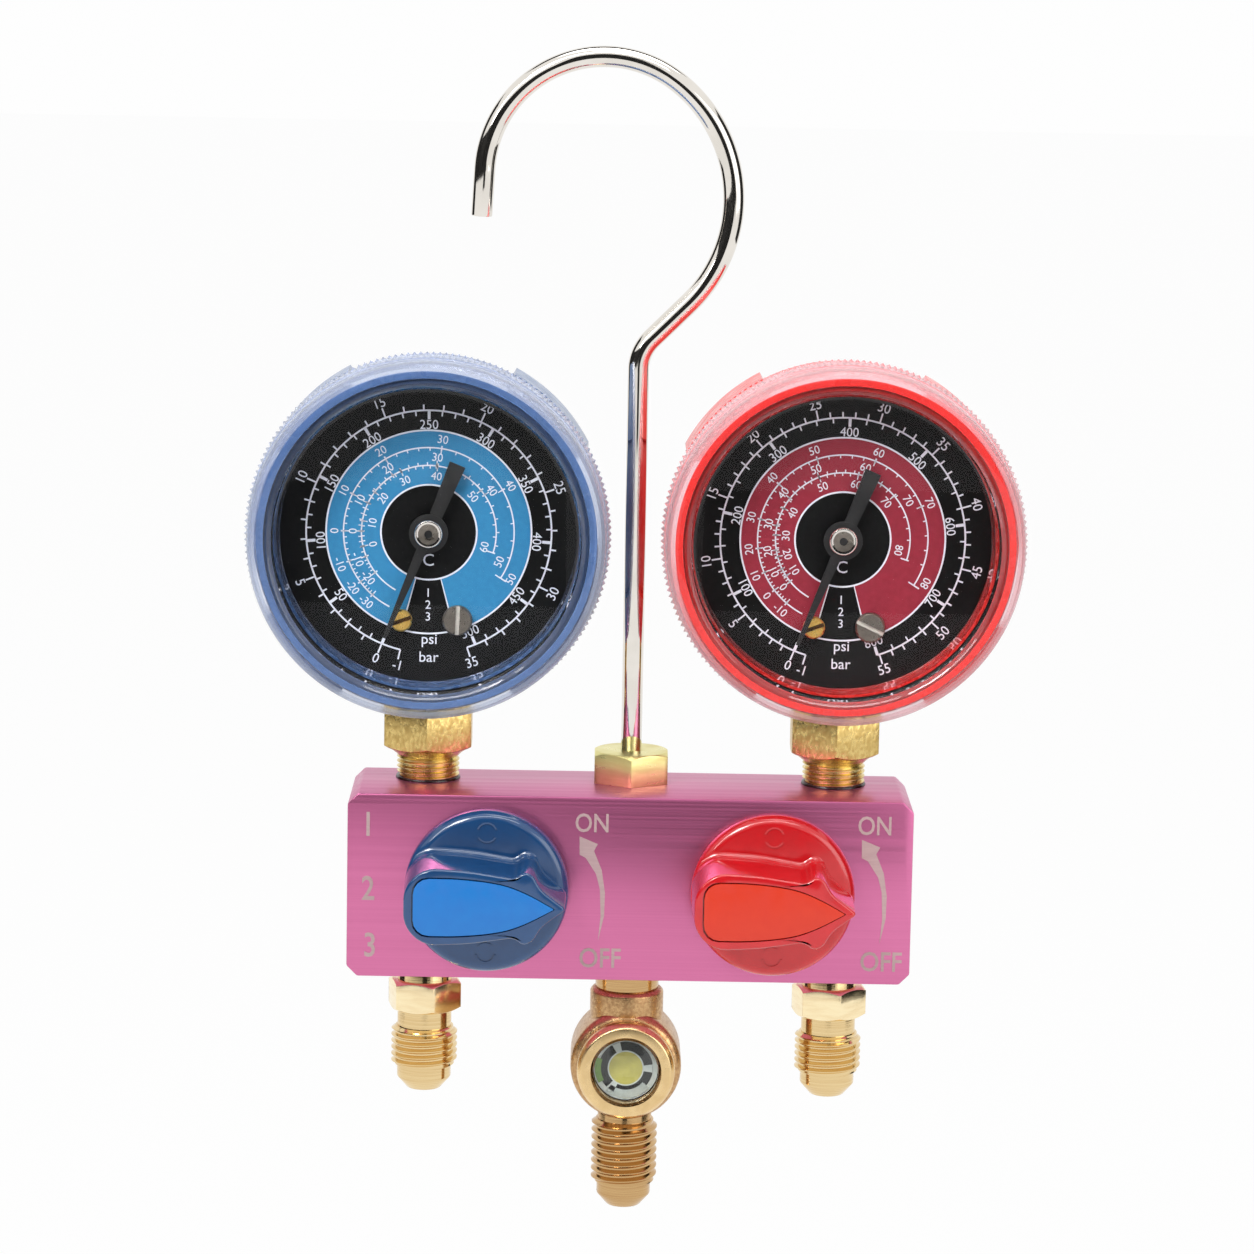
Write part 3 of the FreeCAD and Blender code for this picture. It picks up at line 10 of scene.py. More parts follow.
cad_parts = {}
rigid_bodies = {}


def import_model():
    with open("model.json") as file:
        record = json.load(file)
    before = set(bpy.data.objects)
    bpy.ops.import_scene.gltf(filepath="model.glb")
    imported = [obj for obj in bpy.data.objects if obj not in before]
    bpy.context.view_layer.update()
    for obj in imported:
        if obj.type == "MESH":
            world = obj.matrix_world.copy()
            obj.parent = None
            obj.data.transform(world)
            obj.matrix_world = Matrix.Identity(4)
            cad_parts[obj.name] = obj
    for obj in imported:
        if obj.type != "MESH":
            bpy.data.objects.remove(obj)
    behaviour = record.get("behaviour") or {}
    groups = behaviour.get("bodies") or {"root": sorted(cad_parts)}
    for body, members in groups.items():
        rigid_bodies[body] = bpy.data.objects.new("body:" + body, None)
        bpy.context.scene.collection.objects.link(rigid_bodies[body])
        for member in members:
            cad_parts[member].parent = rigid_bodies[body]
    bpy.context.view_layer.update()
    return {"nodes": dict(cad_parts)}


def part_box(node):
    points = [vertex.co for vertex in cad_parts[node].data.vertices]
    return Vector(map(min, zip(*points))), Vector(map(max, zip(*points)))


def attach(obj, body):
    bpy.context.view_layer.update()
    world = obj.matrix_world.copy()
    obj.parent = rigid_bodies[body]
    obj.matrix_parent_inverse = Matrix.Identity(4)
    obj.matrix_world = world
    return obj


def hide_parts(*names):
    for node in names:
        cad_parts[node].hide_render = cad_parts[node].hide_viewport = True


bl_info = {
    "name": "Manifold Gauge",
    "version": (1, 0, 0),
    "blender": (4, 5, 0),
    "location": "3D View > Sidebar > Manifold",
    "description": "Builds the finished pieces of a refrigerant manifold gauge around its frame",
    "category": "Add Mesh",
}

for old in list(bpy.data.objects):
    bpy.data.objects.remove(old)
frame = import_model()

MM = 0.001
SIDES = ("low", "high")
SHARP_ANGLE = math.radians(32)
KNOB_CREASE = math.radians(40)
KNURL_CREASE = math.radians(18)
FULL_TURN = math.tau

# Height of a capital as a share of the size of its lettering
CAPITAL_SHARE = 0.73

# What lies this close to a level counts as on it
NEAR = 0.01

# From lying flat to facing the front
FRONT_VIEW = Matrix.Rotation(math.radians(90), 4, "X")

ANODISED = "Pink Anodising"

# Camera: where it stands and looks, its focal length, and its roll in degrees
CAMERA_PLACE = (-1.486, -836.80, 32.49)
CAMERA_TARGET = (5.884, -4.5, -105.57)
CAMERA_LENS = 127.2
CAMERA_ROLL = 1.086

# Heights between which painted shade darkens the anodising towards the block's top, and by how much
PAINTED_SHADE_BOTTOM = -158.0
PAINTED_SHADE_TOP = -137.0
PAINTED_SHADE_DEPTH = 0.2

# The part of the noise that makes grain
GRAIN_LOW = 0.35
GRAIN_HIGH = 0.65

# Lamps, in metres: name, place, size, power
LAMPS = (("key", (-0.45, -0.65, 0.6), 0.28, 5.5), ("fill", (0.75, -0.6, 0.15), 0.6, 2.0),
         ("top", (0.1, 0.1, 0.8), 0.7, 4.5))

LAMP_TARGET = Vector((0.0, 0.0, -0.11))
FLOOR_HEIGHT = -0.32
FLOOR_HALF = 6.0

# Cards, in metres: name, whether it is bright, place, half width, half height, and the height that it faces
CARDS = (("card_front", False, (0.02, -1.1, 0.154), 0.2, 0.446, 0.154),
         ("card_hook", False, (-0.5, -1.0, 0.08), 1.4, 0.225, 0.08),
         ("card_left", False, (-0.8, 0.3, 0.091), 0.3, 0.409, 0.091),
         ("card_right", False, (0.85, 0.15, 0.091), 0.36, 0.409, 0.091),
         ("card_upper_left", False, (-0.77, -0.32, 0.05), 0.6, 0.15, 0.05),
         ("card_top", False, (0.0, 0.36, 0.62), 0.5, 0.16, 0.0),
         ("strip_top", True, (0.0, -0.5, 0.62), 0.4, 0.04, -0.1),
         ("strip_left", True, (-0.6, -0.55, 0.35), 0.05, 0.15, -0.1))

# Threads and brass fittings
THREAD_R = 6.35
THREAD_ROOT_R = 5.6
NECK_R = 5.2
NOSE_R = 3.2
NOSE_HEIGHT = 2.3
NOSE_CONE = 2.3
BORE_R = 2.4
STEM_THREAD_R = 6.0
STEM_ROOT_R = 5.35
STEM_HEX_BOTTOM = 6.1
STEM_HEX_TOP = 14.3
PORT_HEX = 12.7
PORT_HEX_TURN = 14.5
GAUGE_HEX = 16.6
SOCKET_BODY = (16.0, 10.5, 13.0)
SOCKET_PLACE = (0, -0.25, -27.5)
HOOK_NUT = 14.0
HOOK_NUT_HEIGHT = 6.0
PORT_NECK = 3.2
PORT_HEX_HEIGHT = 5.8
PORT_GAP = 3.4
PORT_THREAD = 7.8
BLOCK_CHAMFER = 2.0
BARREL_R = 10.65
CENTRE_THREAD = 12.6
CENTRE_PITCH_SCALE = 1.22
NUT_CHAMFER_ANGLE = 30.0

# One turn of a thread: whether a point is on the crest, and how far down the pitch it lies
THREAD_SHAPE = ((False, 0.0), (False, 0.1), (True, 0.44), (True, 0.56), (False, 0.9))

# Outlines of turned pieces, as (radius, height) points, or (radius, y) for those that face the front.
# The plug's dish is given as shares of its radius, and how far they stand proud.
# The dark bead at each gauge stem's foot: thread sealant that also stands in as painted shade round the stem
SEALANT_AND_SHADE = ((5.2, -0.4), (6.25, -0.2), (6.2, 0.3), (5.9, 0.6), (5.2, 0.7))
PLUG_DISH = ((0, 0.03), (0.35, 0.03), (0.5, 0.12), (0.9, 0.12), (1, 0.02))
NUT_TENON = ((0, -1), (4.5, -1), (4.5, 0.5), (0, 0.5))
BARREL = ((0, -1.3), (6.0, -1.3), (6.0, -7.3), (9.45, -7.3), (BARREL_R, -6.1), (BARREL_R, 6.5), (9.15, 8.0),
          (0, 8.0))
COLLAR = ((0, 6), (7.05, 6), (7.05, 13.6), (6.5, 14.25), (0, 14.25))
RIM = ((6.8, -11.1), (8.6, -11.1), (9.4, -9.9), (9.4, -7.0), (6.2, -7.0), (6.2, -10.7))
PANE = ((0, -10.1), (7.3, -10.1), (7.3, -7.1), (0, -7.1))
HUB = ((0, -12.7), (0.6, -12.7), (0.75, -12.95), (1.95, -12.95), (2.2, -13.05), (2.5, -13.05), (2.7, -12.8),
       (2.7, -12.2), (0, -12.2))

# Indicator card: discs as radius, y and finish; arcs as two radii, start, stop and finish
INDICATOR_FRONT = -6.8
INDICATOR_DISCS = ((5.95, -6.7, 2), (5.0, -6.75, 0), (3.1, INDICATOR_FRONT, 1))
INDICATOR_SPOKES = (158, 270, 35)
INDICATOR_ARCS = ((3.1, 3.35, 0, 360, 2), (4.1, 5.7, 310, 400, 4), (4.6, 5.7, 60, 110, 3))

# Marks on the block: text, height of its capitals, x and z of its middle, and how far it is narrowed
BLOCK_WORDS = (("ON", 3.7, -0.13, -141.09, 0.82), ("OFF", 3.9, 1.84, -167.23, 0.86),
               ("ON", 3.7, 53.33, -140.74, 0.82), ("OFF", 3.9, 55.21, -167.08, 0.86),
               ("1", 4.8, -42.4, -142.0, 0.8), ("2", 4.8, -42.3, -154.37, 0.8),
               ("3", 4.8, -41.9, -165.4, 0.8))
BLOCK_WORD_WEIGHT = 0.016
MARK_THICK = 0.12
MARK_PROUD = 0.04
ARROW = ((-2.44, -143.73), (-2.38, -147.27), (-1.22, -147.85), (0.79, -150.92), (1.57, -153.87),
         (1.8, -159.07), (1.38, -163.91), (2.46, -159.05), (2.55, -154.6), (1.86, -150.16), (0.35, -146.49),
         (1.05, -145.14))
ARROW_SHIFT = 53.4
ARROW_SLOPE = 0.005

# Hook, from the block's top face
ROD_R = 2.0
HOOK_RISE = 82.8
HOOK_BEND_R = 8.0
HOOK_SLANT = 45.0
CROOK_SLANT_RUN = 13.1
CROOK_LARGE_R = 27.6
CROOK_SMALL_R = 22.5
CROOK_JOIN_ANGLE = 53.0
CROOK_END_ANGLE = 177.0
HOOK_LEG = 9.0

# Gauges
LENS_COLUMNS = 360
WINDOW_R = 27.9
FROST_R = 32.0
KNURL_BASE_R = 33.75
KNURL_PEAK_R = 34.4
KNURL_ROWS = (-15.85, -12.55)
LENS = ((0, -22.9), (WINDOW_R, -22.9), (28.5, -23.0), (29.3, -24.3), (29.6, -24.5), (31.9, -24.5),
        (32.6, -24.3), (33.2, -23.7), (33.4, -23.0), (33.4, -18.0), (33.6, -17.6), (KNURL_BASE_R, -17.5),
        (KNURL_BASE_R, KNURL_ROWS[0]), (KNURL_BASE_R, -14.2), (KNURL_BASE_R, KNURL_ROWS[1]),
        (KNURL_BASE_R, -10.9), (33.4, -10.5), (31.7, -10.5), (31.7, -22.4), (29.4, -22.4), (29.4, -14.5),
        (WINDOW_R, -14.5), (WINDOW_R, -20.9), (0, -20.9))
DIAL_FRONT = -10.0
LAYER = 0.03
BLACK, COLOUR, WHITE = range(3)
PRINT_THICK = 0.05
SCALE_R = 23.3
ZERO_TURN = 22.0
COLOUR_R = 19.5
DIAL_EDGE_R = 29.0
OUTER_ARC_R = 16.2
INNER_ARC_R = 12.8
CENTRE_R = 9.1
LINE = 0.32
ARC_LINE = 0.26
OUTER_ARC = (27, 302)
INNER_ARC = (29, 287)
LONG_BAR_MARK = 1.9
SHORT_BAR_MARK = 1.1
LONG_PSI_MARK = 1.7
SHORT_PSI_MARK = 1.0

WEDGE_HALF = 15.0
DIAL_HEAD_R = 2.1
DIAL_SLOT = 20.0
ZERO_HEAD_R = 2.85
HUB_RIM_R = 2.05
HUB_PIN_R = 0.62
ZERO_SLOTS = {"low": 88.0, "high": -25.0}
SCREW_SLOT = 0.8
SCREW_SLOT_DEPTH = 0.56

# Height and radius of the numbers on the outer scales
BAR_TEXT = (1.95, 26.3)
PSI_TEXT = (1.85, 20.6)

# Temperature scales: radius, 1 for marks outwards and -1 for inwards, and the numbers' height and radius
ARCS = ((OUTER_ARC_R, -1, 1.65, 17.95), (INNER_ARC_R, 1, 1.65, 14.45), (INNER_ARC_R, -1, 1.6, 10.85))

# Words below the middle: text, height, x and z
DIAL_WORDS = (("C", 2.4, 0, -5.3), ("1", 1.7, 0, -11.6), ("2", 1.7, 0, -13.9), ("3", 1.7, 0, -16.2),
              ("psi", 2.1, 0.3, -20.9), ("bar", 2.1, 0.3, -24.0))

# Top bar, top psi, psi from number to number, and the degrees that a bar and a psi take up
DIALS = {"low": (35, 500, 50, 9.12, 0.63), "high": (55, 800, 100, 5.8, 0.4)}

# The outer, middle and inner temperature scales: numbers and their places, clockwise from the bottom
TEMPERATURES = {
    "low": (((-30, 41), (-20, 53), (-10, 69), (0, 90), (10, 116), (20, 149), (30, 188), (40, 239), (50, 299)),
            ((-20, 52), (-10, 68), (0, 90), (10, 115), (20, 147), (30, 186), (40, 235), (50, 292)),
            ((0, 77), (10, 99), (20, 126), (30, 155), (40, 187), (50, 230), (60, 284))),
    "high": (((-10, 40), (0, 52), (10, 66), (20, 83), (30, 103), (40, 130), (50, 161), (60, 201), (70, 246),
              (80, 297)),
             ((0, 50), (10, 63), (20, 80), (30, 101), (40, 127), (50, 158), (60, 196), (70, 238)),
             ((10, 56), (20, 74), (30, 93), (40, 117), (50, 158), (60, 192), (70, 228), (80, 280))),
}

# Knob outlines as (x, z, rounding) in the knob's own axes: upper half, nose to +X
GRIP_CORNERS = ((-15.05, 3.3, 1.8), (-11.7, 7.35, 2.6), (-3.0, 6.9, 2.0), (5.5, 5.6, 0.9), (7.0, 6.85, 0.8),
                (8.8, 6.6, 1.2), (10.5, 3.5, 1.2))
GRIP_NOSE = (15.2, 0.0, 0.8)
INSERT_CORNERS = ((-13.3, 5.4, 3.0), (-5.5, 5.4, 1.8), (0.0, 4.95, 1.8), (4.4, 4.15, 1.8), (8.4, 2.5, 1.8))
INSERT_NOSE = (12.9, 0.0, 0.25)
POCKET_SCALE = (1.018, 1.05)
GRIP_FLARE = ((11.4, 0.4), (12.1, 0.55), (12.55, 0.8), (12.85, 1.15), (13.02, 1.55), (13.1, 1.85))
GRIP_HALF_WIDTH = 7.0
GRIP_HALF_LENGTH = 15.0
GRIP_END_GROWTH = 0.25
KNOB_R = 15.5
KNOB_REAR = -1.3
DISC_FRONT = -5.3
GRIP_FRONT = -18.3
POCKET_DEPTH = 1.4
INSERT_DEPTH = 2.0
INSERT_PROUD = 0.1
KNOB_MARK_OFFSET = 11.6
KNOB_MARK_RADII = (1.65, 1.98)

# Parts of rings on the knob's disc: side, start and stop
KNOB_MARKS = ((1, -60, 60), (1, 110, 250), (-1, -80, 80), (-1, 130, 215))


def srgb(*channels):
    """A colour written as it is seen, turned into the linear values that shaders use."""
    return tuple(c / 12.92 if c <= 0.04045 else ((c + 0.055) / 1.055) ** 2.4 for c in channels)


def length(name, description, default, lowest, highest):
    """A length that a user would change, in metres."""
    return bpy.props.FloatProperty(name=name, description=description, unit="LENGTH", default=default,
                                   min=lowest, max=highest)


def paint_colour(name, description, seen):
    """A colour that a user would change."""
    return bpy.props.FloatVectorProperty(name=name, description=description, subtype="COLOR",
                                         default=srgb(*seen), min=0, max=1)


class ManifoldSizes(bpy.types.PropertyGroup):
    """Sizes that a user would change."""
    thread_pitch: length("Thread Pitch", "Pitch of the hose threads", 0.00127, 0.0005, 0.003)
    stem_pitch: length("Stem Pitch", "Pitch of the gauge stem threads", 0.00095, 0.0005, 0.002)
    edge_round: length("Edge Round", "Radius on the machined edges", 0.0003, 0.0001, 0.001)
    knob_round: length("Knob Round", "Radius along the knob's front edge", 0.001, 0.0002, 0.0014)


class ManifoldColours(bpy.types.PropertyGroup):
    """Colours that a user would change."""
    block: paint_colour("Block", "Anodised colour of the block", (0.87, 0.49, 0.67))
    low_knob: paint_colour("Low Knob", "Colour of the low side's knob", (0.12, 0.29, 0.48))
    low_insert: paint_colour("Low Insert", "Colour of the low knob's insert", (0.10, 0.48, 0.80))
    low_case: paint_colour("Low Housing", "Colour of the low gauge's case", (0.33, 0.45, 0.63))
    low_dial: paint_colour("Low Dial", "Colour band of the low dial", (0.20, 0.50, 0.67))
    high_knob: paint_colour("High Knob", "Colour of the high side's knob", (0.83, 0.11, 0.14))
    high_insert: paint_colour("High Insert", "Colour of the high knob's insert", (0.87, 0.22, 0.11))
    high_case: paint_colour("High Housing", "Colour of the high gauge's case", (0.93, 0.22, 0.20))
    high_dial: paint_colour("High Dial", "Colour band of the high dial", (0.55, 0.16, 0.22))


def sizes():
    return bpy.context.scene.manifold_sizes


def colours():
    return bpy.context.scene.manifold_colours


def centre_of(node):
    """Centre of a CAD node's box, in millimetres."""
    low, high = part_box(node)
    return (low + high) / (2 * MM)


def low_of(node):
    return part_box(node)[0] / MM


def high_of(node):
    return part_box(node)[1] / MM


# Materials

def new_material(name, colour, roughness, metallic=0.0, coat=0.0, ior=1.5):
    """A new material with one Principled shader."""
    made = bpy.data.materials.new(name)
    made.use_nodes = True
    tree = made.node_tree
    set_up(tree, tree.nodes["Principled BSDF"], Base_Color=(*colour, 1.0), Roughness=roughness,
           Metallic=metallic, Coat_Weight=coat, Coat_Roughness=0.08, IOR=ior)
    return made


def feed(tree, socket, value):
    """Links a socket to another one, or sets its own value."""
    if isinstance(value, bpy.types.NodeSocket):
        tree.links.new(value, socket)
    else:
        socket.default_value = value


def set_up(tree, node, **values):
    """Feeds the named sockets, their names written with _ for a space."""
    for name, value in values.items():
        feed(tree, node.inputs[name.replace("_", " ")], value)


def add_node(tree, kind, output=0, **values):
    """Adds a node, feeds its sockets and gives its output."""
    node = tree.nodes.new("ShaderNode" + kind)
    set_up(tree, node, **values)
    return node.outputs[output]


def combine(tree, operation, first, second):
    """The outcome of a sum on two values."""
    node = tree.nodes.new("ShaderNodeMath")
    node.operation = operation
    feed(tree, node.inputs[0], first)
    feed(tree, node.inputs[1], second)
    return node.outputs["Value"]


def mix_colours(tree, share, first, second):
    """The first colour where share is 0, the second where it is 1."""
    node = tree.nodes.new("ShaderNodeMix")
    node.data_type = "RGBA"
    set_up(tree, node, Factor=share, A=first, B=second)
    return node.outputs["Result"]


def show_either(tree, share, first, second, output):
    """Puts the first shader on the output where share is 0, and the second where it is 1."""
    node = tree.nodes.new("ShaderNodeMixShader")
    for socket, value in zip(node.inputs, (share, first, second)):
        tree.links.new(value, socket)
    tree.links.new(node.outputs["Shader"], tree.nodes[output].inputs["Surface"])


def add_grain(made, stretch, dark, amount, rough, bump):
    """Streaks or grain: stretch is the pattern's frequency per metre along X, Y and Z."""
    tree = made.node_tree
    shader = tree.nodes["Principled BSDF"]
    place = add_node(tree, "Mapping", Vector=add_node(tree, "TexCoord", "Object"), Scale=stretch)
    noise = add_node(tree, "TexNoise", "Fac", Vector=place, Scale=1.0, Detail=4.0)
    spread = add_node(tree, "MapRange", Value=noise, From_Min=GRAIN_LOW, From_Max=GRAIN_HIGH)
    share = combine(tree, "MULTIPLY", spread, amount)
    plain = shader.inputs["Base Color"].default_value
    set_up(tree, shader, Base_Color=mix_colours(tree, share, plain, (*dark, 1.0)),
           Roughness=add_node(tree, "MapRange", Value=spread, To_Min=rough[0], To_Max=rough[1]))
    if bump:
        relief = add_node(tree, "Bump", Strength=bump, Distance=0.05 * MM, Height=spread)
        set_up(tree, shader, Normal=relief)
    return made


def clear_material(name, tint, roughness, ior, clarity):
    """Clear or milky plastic or glass that lets the light of lamps through."""
    made = new_material(name, srgb(*tint), roughness, ior=ior)
    tree = made.node_tree
    shader = tree.nodes["Principled BSDF"]
    set_up(tree, shader, Transmission_Weight=clarity)
    show_either(tree, add_node(tree, "LightPath", "Is Shadow Ray"), shader.outputs["BSDF"],
                add_node(tree, "BsdfTransparent"), "Material Output")
    return made


def anodised_material():
    """Brushed pink anodising, with painted shade that darkens it towards the block's top edge."""
    made = new_material(ANODISED, colours().block, 0.3, metallic=0.85)
    add_grain(made, (9, 700, 2400), srgb(0.80, 0.42, 0.60), 0.22, (0.28, 0.38), 0.03)
    tree = made.node_tree
    shader = tree.nodes["Principled BSDF"]
    brushed = shader.inputs["Base Color"].links[0].from_socket
    # Painted shade: the colour turns to a darker pink from the lower height up to the block's top
    height = add_node(tree, "SeparateXYZ", "Z", Vector=add_node(tree, "TexCoord", "Object"))
    painted_shade = add_node(tree, "MapRange", Value=height, From_Min=PAINTED_SHADE_BOTTOM * MM, From_Max=PAINTED_SHADE_TOP * MM,
                    To_Max=PAINTED_SHADE_DEPTH)
    painted_shade.node.interpolation_type = "SMOOTHSTEP"
    set_up(tree, shader, Base_Color=mix_colours(tree, painted_shade, brushed, (*srgb(0.60, 0.25, 0.42), 1.0)))
    return made


class Finish(NamedTuple):
    """A grained finish. The colour may be the name of the user's colour. The stretch is the grain's
    frequency per metre, one number where it is even, or one each along X, Y and Z."""
    colour: tuple
    grain: tuple
    stretch: tuple
    amount: float = 0.5
    rough: tuple = (0.2, 0.4)
    bump: float = 0.0
    metallic: float = 0.0
    coat: float = 0.0
    ior: float = 1.5


def metal(*values):
    """A grained metal."""
    return Finish(*values, metallic=1.0)


FINISHES = {
    "Turned Brass": metal((0.92, 0.82, 0.62), (0.82, 0.66, 0.42), (90, 90, 5200), 0.4, (0.08, 0.18), 0.06),
    "Rosy Turned Brass": metal((0.81, 0.67, 0.47), (0.68, 0.5, 0.32), (90, 90, 5200), 0.4, (0.09, 0.2), 0.06),
    "Milled Brass": metal((0.88, 0.77, 0.50), (0.72, 0.58, 0.30), (1500, 1500, 1000), 0.6, (0.22, 0.42), 0.6),
    "Bright Milled Brass": metal((1.0, 0.93, 0.76), (0.95, 0.82, 0.61), (200, 200, 900), 0.35, (0.1, 0.22),
                                 0.04),
    "Rosy Brass": metal((0.93, 0.90, 0.62), (0.85, 0.79, 0.50), (200, 200, 900), 0.5, (0.26, 0.4), 0.1),
    "Cast Brass": metal((0.82, 0.67, 0.48), (0.62, 0.44, 0.30), 1700, 0.55, (0.24, 0.4), 0.25),
    "Faced Brass": metal((0.95, 0.83, 0.62), (0.87, 0.73, 0.50), 300, 0.5, (0.2, 0.34), 0.04),
    "Stem Brass": metal((0.95, 0.88, 0.64), (0.81, 0.69, 0.44), (300, 300, 2500), 0.5, (0.2, 0.34), 0.1),
    "Screw Brass": metal((0.96, 0.80, 0.44), (0.80, 0.62, 0.30), 900, 0.6, (0.2, 0.4), 0.1),
    # Painted shade for the floor of the brass dial screws' slots
    "Painted Slot Shade": Finish((0.30, 0.20, 0.08), (0.16, 0.10, 0.05), 900, 0.6, (0.3, 0.5), 0.1, 0.6),
    "Bronze Tube": metal((0.74, 0.50, 0.26), (0.55, 0.34, 0.17), 500),
    "Bright Nickel": metal((0.92, 0.90, 0.87), (0.84, 0.82, 0.78), 160, 0.4, (0.03, 0.10)),
    "Dark Steel": metal((0.54, 0.51, 0.47), (0.41, 0.39, 0.36), 900, 0.5, (0.24, 0.42)),
    # Painted highlight for the floor of the steel zero screws' slots
    "Painted Slot Highlight": Finish((0.88, 0.86, 0.82), (0.70, 0.68, 0.64), 900, 0.5, (0.4, 0.6)),
    "Satin Steel": metal((0.74, 0.71, 0.67), (0.46, 0.45, 0.43), (4200, 300, 300), 0.5, (0.2, 0.42), 0.15),
    "Grey Marking": Finish((0.77, 0.66, 0.66), (0.70, 0.56, 0.58), (300, 900, 2600), 0.3, (0.42, 0.6),
                           metallic=0.2),
    "Low Knob Plastic": Finish("low_knob", (0.09, 0.24, 0.42), 260, 0.5, (0.12, 0.2), 0.04, coat=0.6),
    "Low Insert Plastic": Finish("low_insert", (0.12, 0.45, 0.78), 420, 0.5, (0.34, 0.48), 0.05),
    "High Knob Plastic": Finish("high_knob", (0.74, 0.07, 0.10), 260, 0.5, (0.12, 0.2), 0.04, coat=0.6),
    "High Insert Plastic": Finish("high_insert", (0.85, 0.20, 0.12), 420, 0.5, (0.34, 0.48), 0.05),
    "Low Housing Plastic": Finish("low_case", (0.28, 0.40, 0.58), 300, 0.5, (0.2, 0.34), 0.05, coat=0.2),
    "High Housing Plastic": Finish("high_case", (0.86, 0.17, 0.16), 300, 0.5, (0.2, 0.34), 0.05, coat=0.2),
    "Black Dial Paint": Finish((0.035, 0.035, 0.035), (0.02, 0.02, 0.022), 900, 0.5, (0.45, 0.6), ior=1.25),
    "Low Dial Paint": Finish("low_dial", (0.18, 0.46, 0.63), 900, 0.6, (0.4, 0.55), 0.03, ior=1.3),
    "High Dial Paint": Finish("high_dial", (0.51, 0.14, 0.19), 900, 0.6, (0.4, 0.55), 0.03, ior=1.3),
    "White Dial Print": Finish((0.86, 0.87, 0.90), (0.78, 0.80, 0.84), 1500, 0.5, (0.45, 0.6)),
    "Pointer Black": Finish((0.045, 0.045, 0.045), (0.08, 0.08, 0.08), 1500, 0.5, (0.42, 0.6), 0.05),
    "Seal Rubber": Finish((0.10, 0.09, 0.09), (0.06, 0.06, 0.06), 1200, 0.6, (0.5, 0.7), 0.1),
    # Thread sealant, made dark enough to also be painted shade at the gauge stems' feet
    "Thread Sealant And Painted Shade": Finish((0.20, 0.08, 0.07), (0.12, 0.04, 0.04), (700, 700, 1500), 0.8, (0.12, 0.3), 0.4),
    "Indicator Yellow": Finish((0.78, 0.74, 0.36), (0.70, 0.66, 0.30), 700, 0.6, (0.4, 0.55)),
    "Indicator Green": Finish((0.45, 0.62, 0.24), (0.36, 0.52, 0.20), 700, 0.6, (0.4, 0.55)),
    "Indicator White": Finish((0.84, 0.86, 0.86), (0.74, 0.78, 0.78), 700, 0.6, (0.4, 0.55)),
    "Indicator Grey": Finish((0.72, 0.75, 0.75), (0.62, 0.66, 0.66), 700, 0.6, (0.4, 0.55)),
}

# Tint, roughness, index of refraction and clarity
CLEAR_FINISHES = {
    "Clear Cap": ((0.985, 0.98, 0.995), 0.02, 1.46, 1.0),
    "Clear Window": ((0.99, 0.99, 0.995), 0.01, 1.22, 1.0),
    "Low Frosted Cap": ((0.83, 0.86, 0.93), 0.25, 1.46, 0.75),
    "High Frosted Cap": ((0.97, 0.83, 0.85), 0.25, 1.46, 0.75),
    "Clear Seal": ((0.97, 0.96, 0.97), 0.3, 1.4, 1.0),
    "Clear Glass": ((0.97, 0.985, 0.98), 0.01, 1.5, 1.0),
}

# Finishes of the carried-over parts inside the gauges and valves
INNER_FINISHES = {
    "arbor": "Pointer Black", "sector_gear": "Faced Brass", "link": "Satin Steel",
    "bourdon_tube": "Bronze Tube", "movement_front_plate": "Faced Brass",
    "movement_back_plate": "Faced Brass", "hairspring": "Bronze Tube", "knob_screw": "Satin Steel",
    "valve_stem": "Satin Steel", "valve_piston": "Turned Brass", "valve_bonnet": "Turned Brass",
    "piston_seals": "Seal Rubber", "lens_seal": "Clear Seal",
}


def finish_material(name):
    """The named finish, made on first use."""
    found = bpy.data.materials.get(name)
    if found:
        return found
    if name == ANODISED:
        return anodised_material()
    if name in CLEAR_FINISHES:
        return clear_material(name, *CLEAR_FINISHES[name])
    wanted = FINISHES[name]
    colour = getattr(colours(), wanted.colour) if isinstance(wanted.colour, str) else srgb(*wanted.colour)
    stretch = wanted.stretch if isinstance(wanted.stretch, tuple) else (wanted.stretch,) * 3
    made = new_material(name, colour, sum(wanted.rough) / 2, wanted.metallic, wanted.coat, wanted.ior)
    return add_grain(made, stretch, srgb(*wanted.grain), wanted.amount, wanted.rough, wanted.bump)


# Shapes. Each helper adds to a bmesh that is drawn in millimetres.

def lathe(bm, points, axis="Z", steps=96):
    """Turns a line of (radius, height) points about the Z or Y axis."""
    spots = [Vector((r, 0, h)) if axis == "Z" else Vector((r, h, 0)) for r, h in points]
    verts = [bm.verts.new(p) for p in spots]
    edges = [bm.edges.new(pair) for pair in zip(verts, verts[1:])]
    bmesh.ops.spin(bm, geom=verts + edges, cent=(0, 0, 0), axis=(0, 0, 1) if axis == "Z" else (0, -1, 0),
                   dvec=(0, 0, 0), angle=FULL_TURN, steps=steps, use_merge=True)


def verts_of(geom):
    return [g for g in geom if isinstance(g, bmesh.types.BMVert)]


def edges_of(geom):
    return [g for g in geom if isinstance(g, bmesh.types.BMEdge)]


def bevel(bm, geom, width, segments, affect="EDGES"):
    bmesh.ops.bevel(bm, geom=geom, offset=width, offset_type="OFFSET", affect=affect, segments=segments,
                    profile=0.5, material=-1, clamp_overlap=True)


def cuboid(size):
    """A box about the origin."""
    bm = bmesh.new()
    bmesh.ops.create_cube(bm, size=1.0)
    bmesh.ops.scale(bm, verts=bm.verts, vec=size)
    return bm


def weld(bm, reach=0.004):
    bmesh.ops.remove_doubles(bm, verts=bm.verts, dist=reach)
    bmesh.ops.dissolve_degenerate(bm, edges=bm.edges, dist=reach / 4)


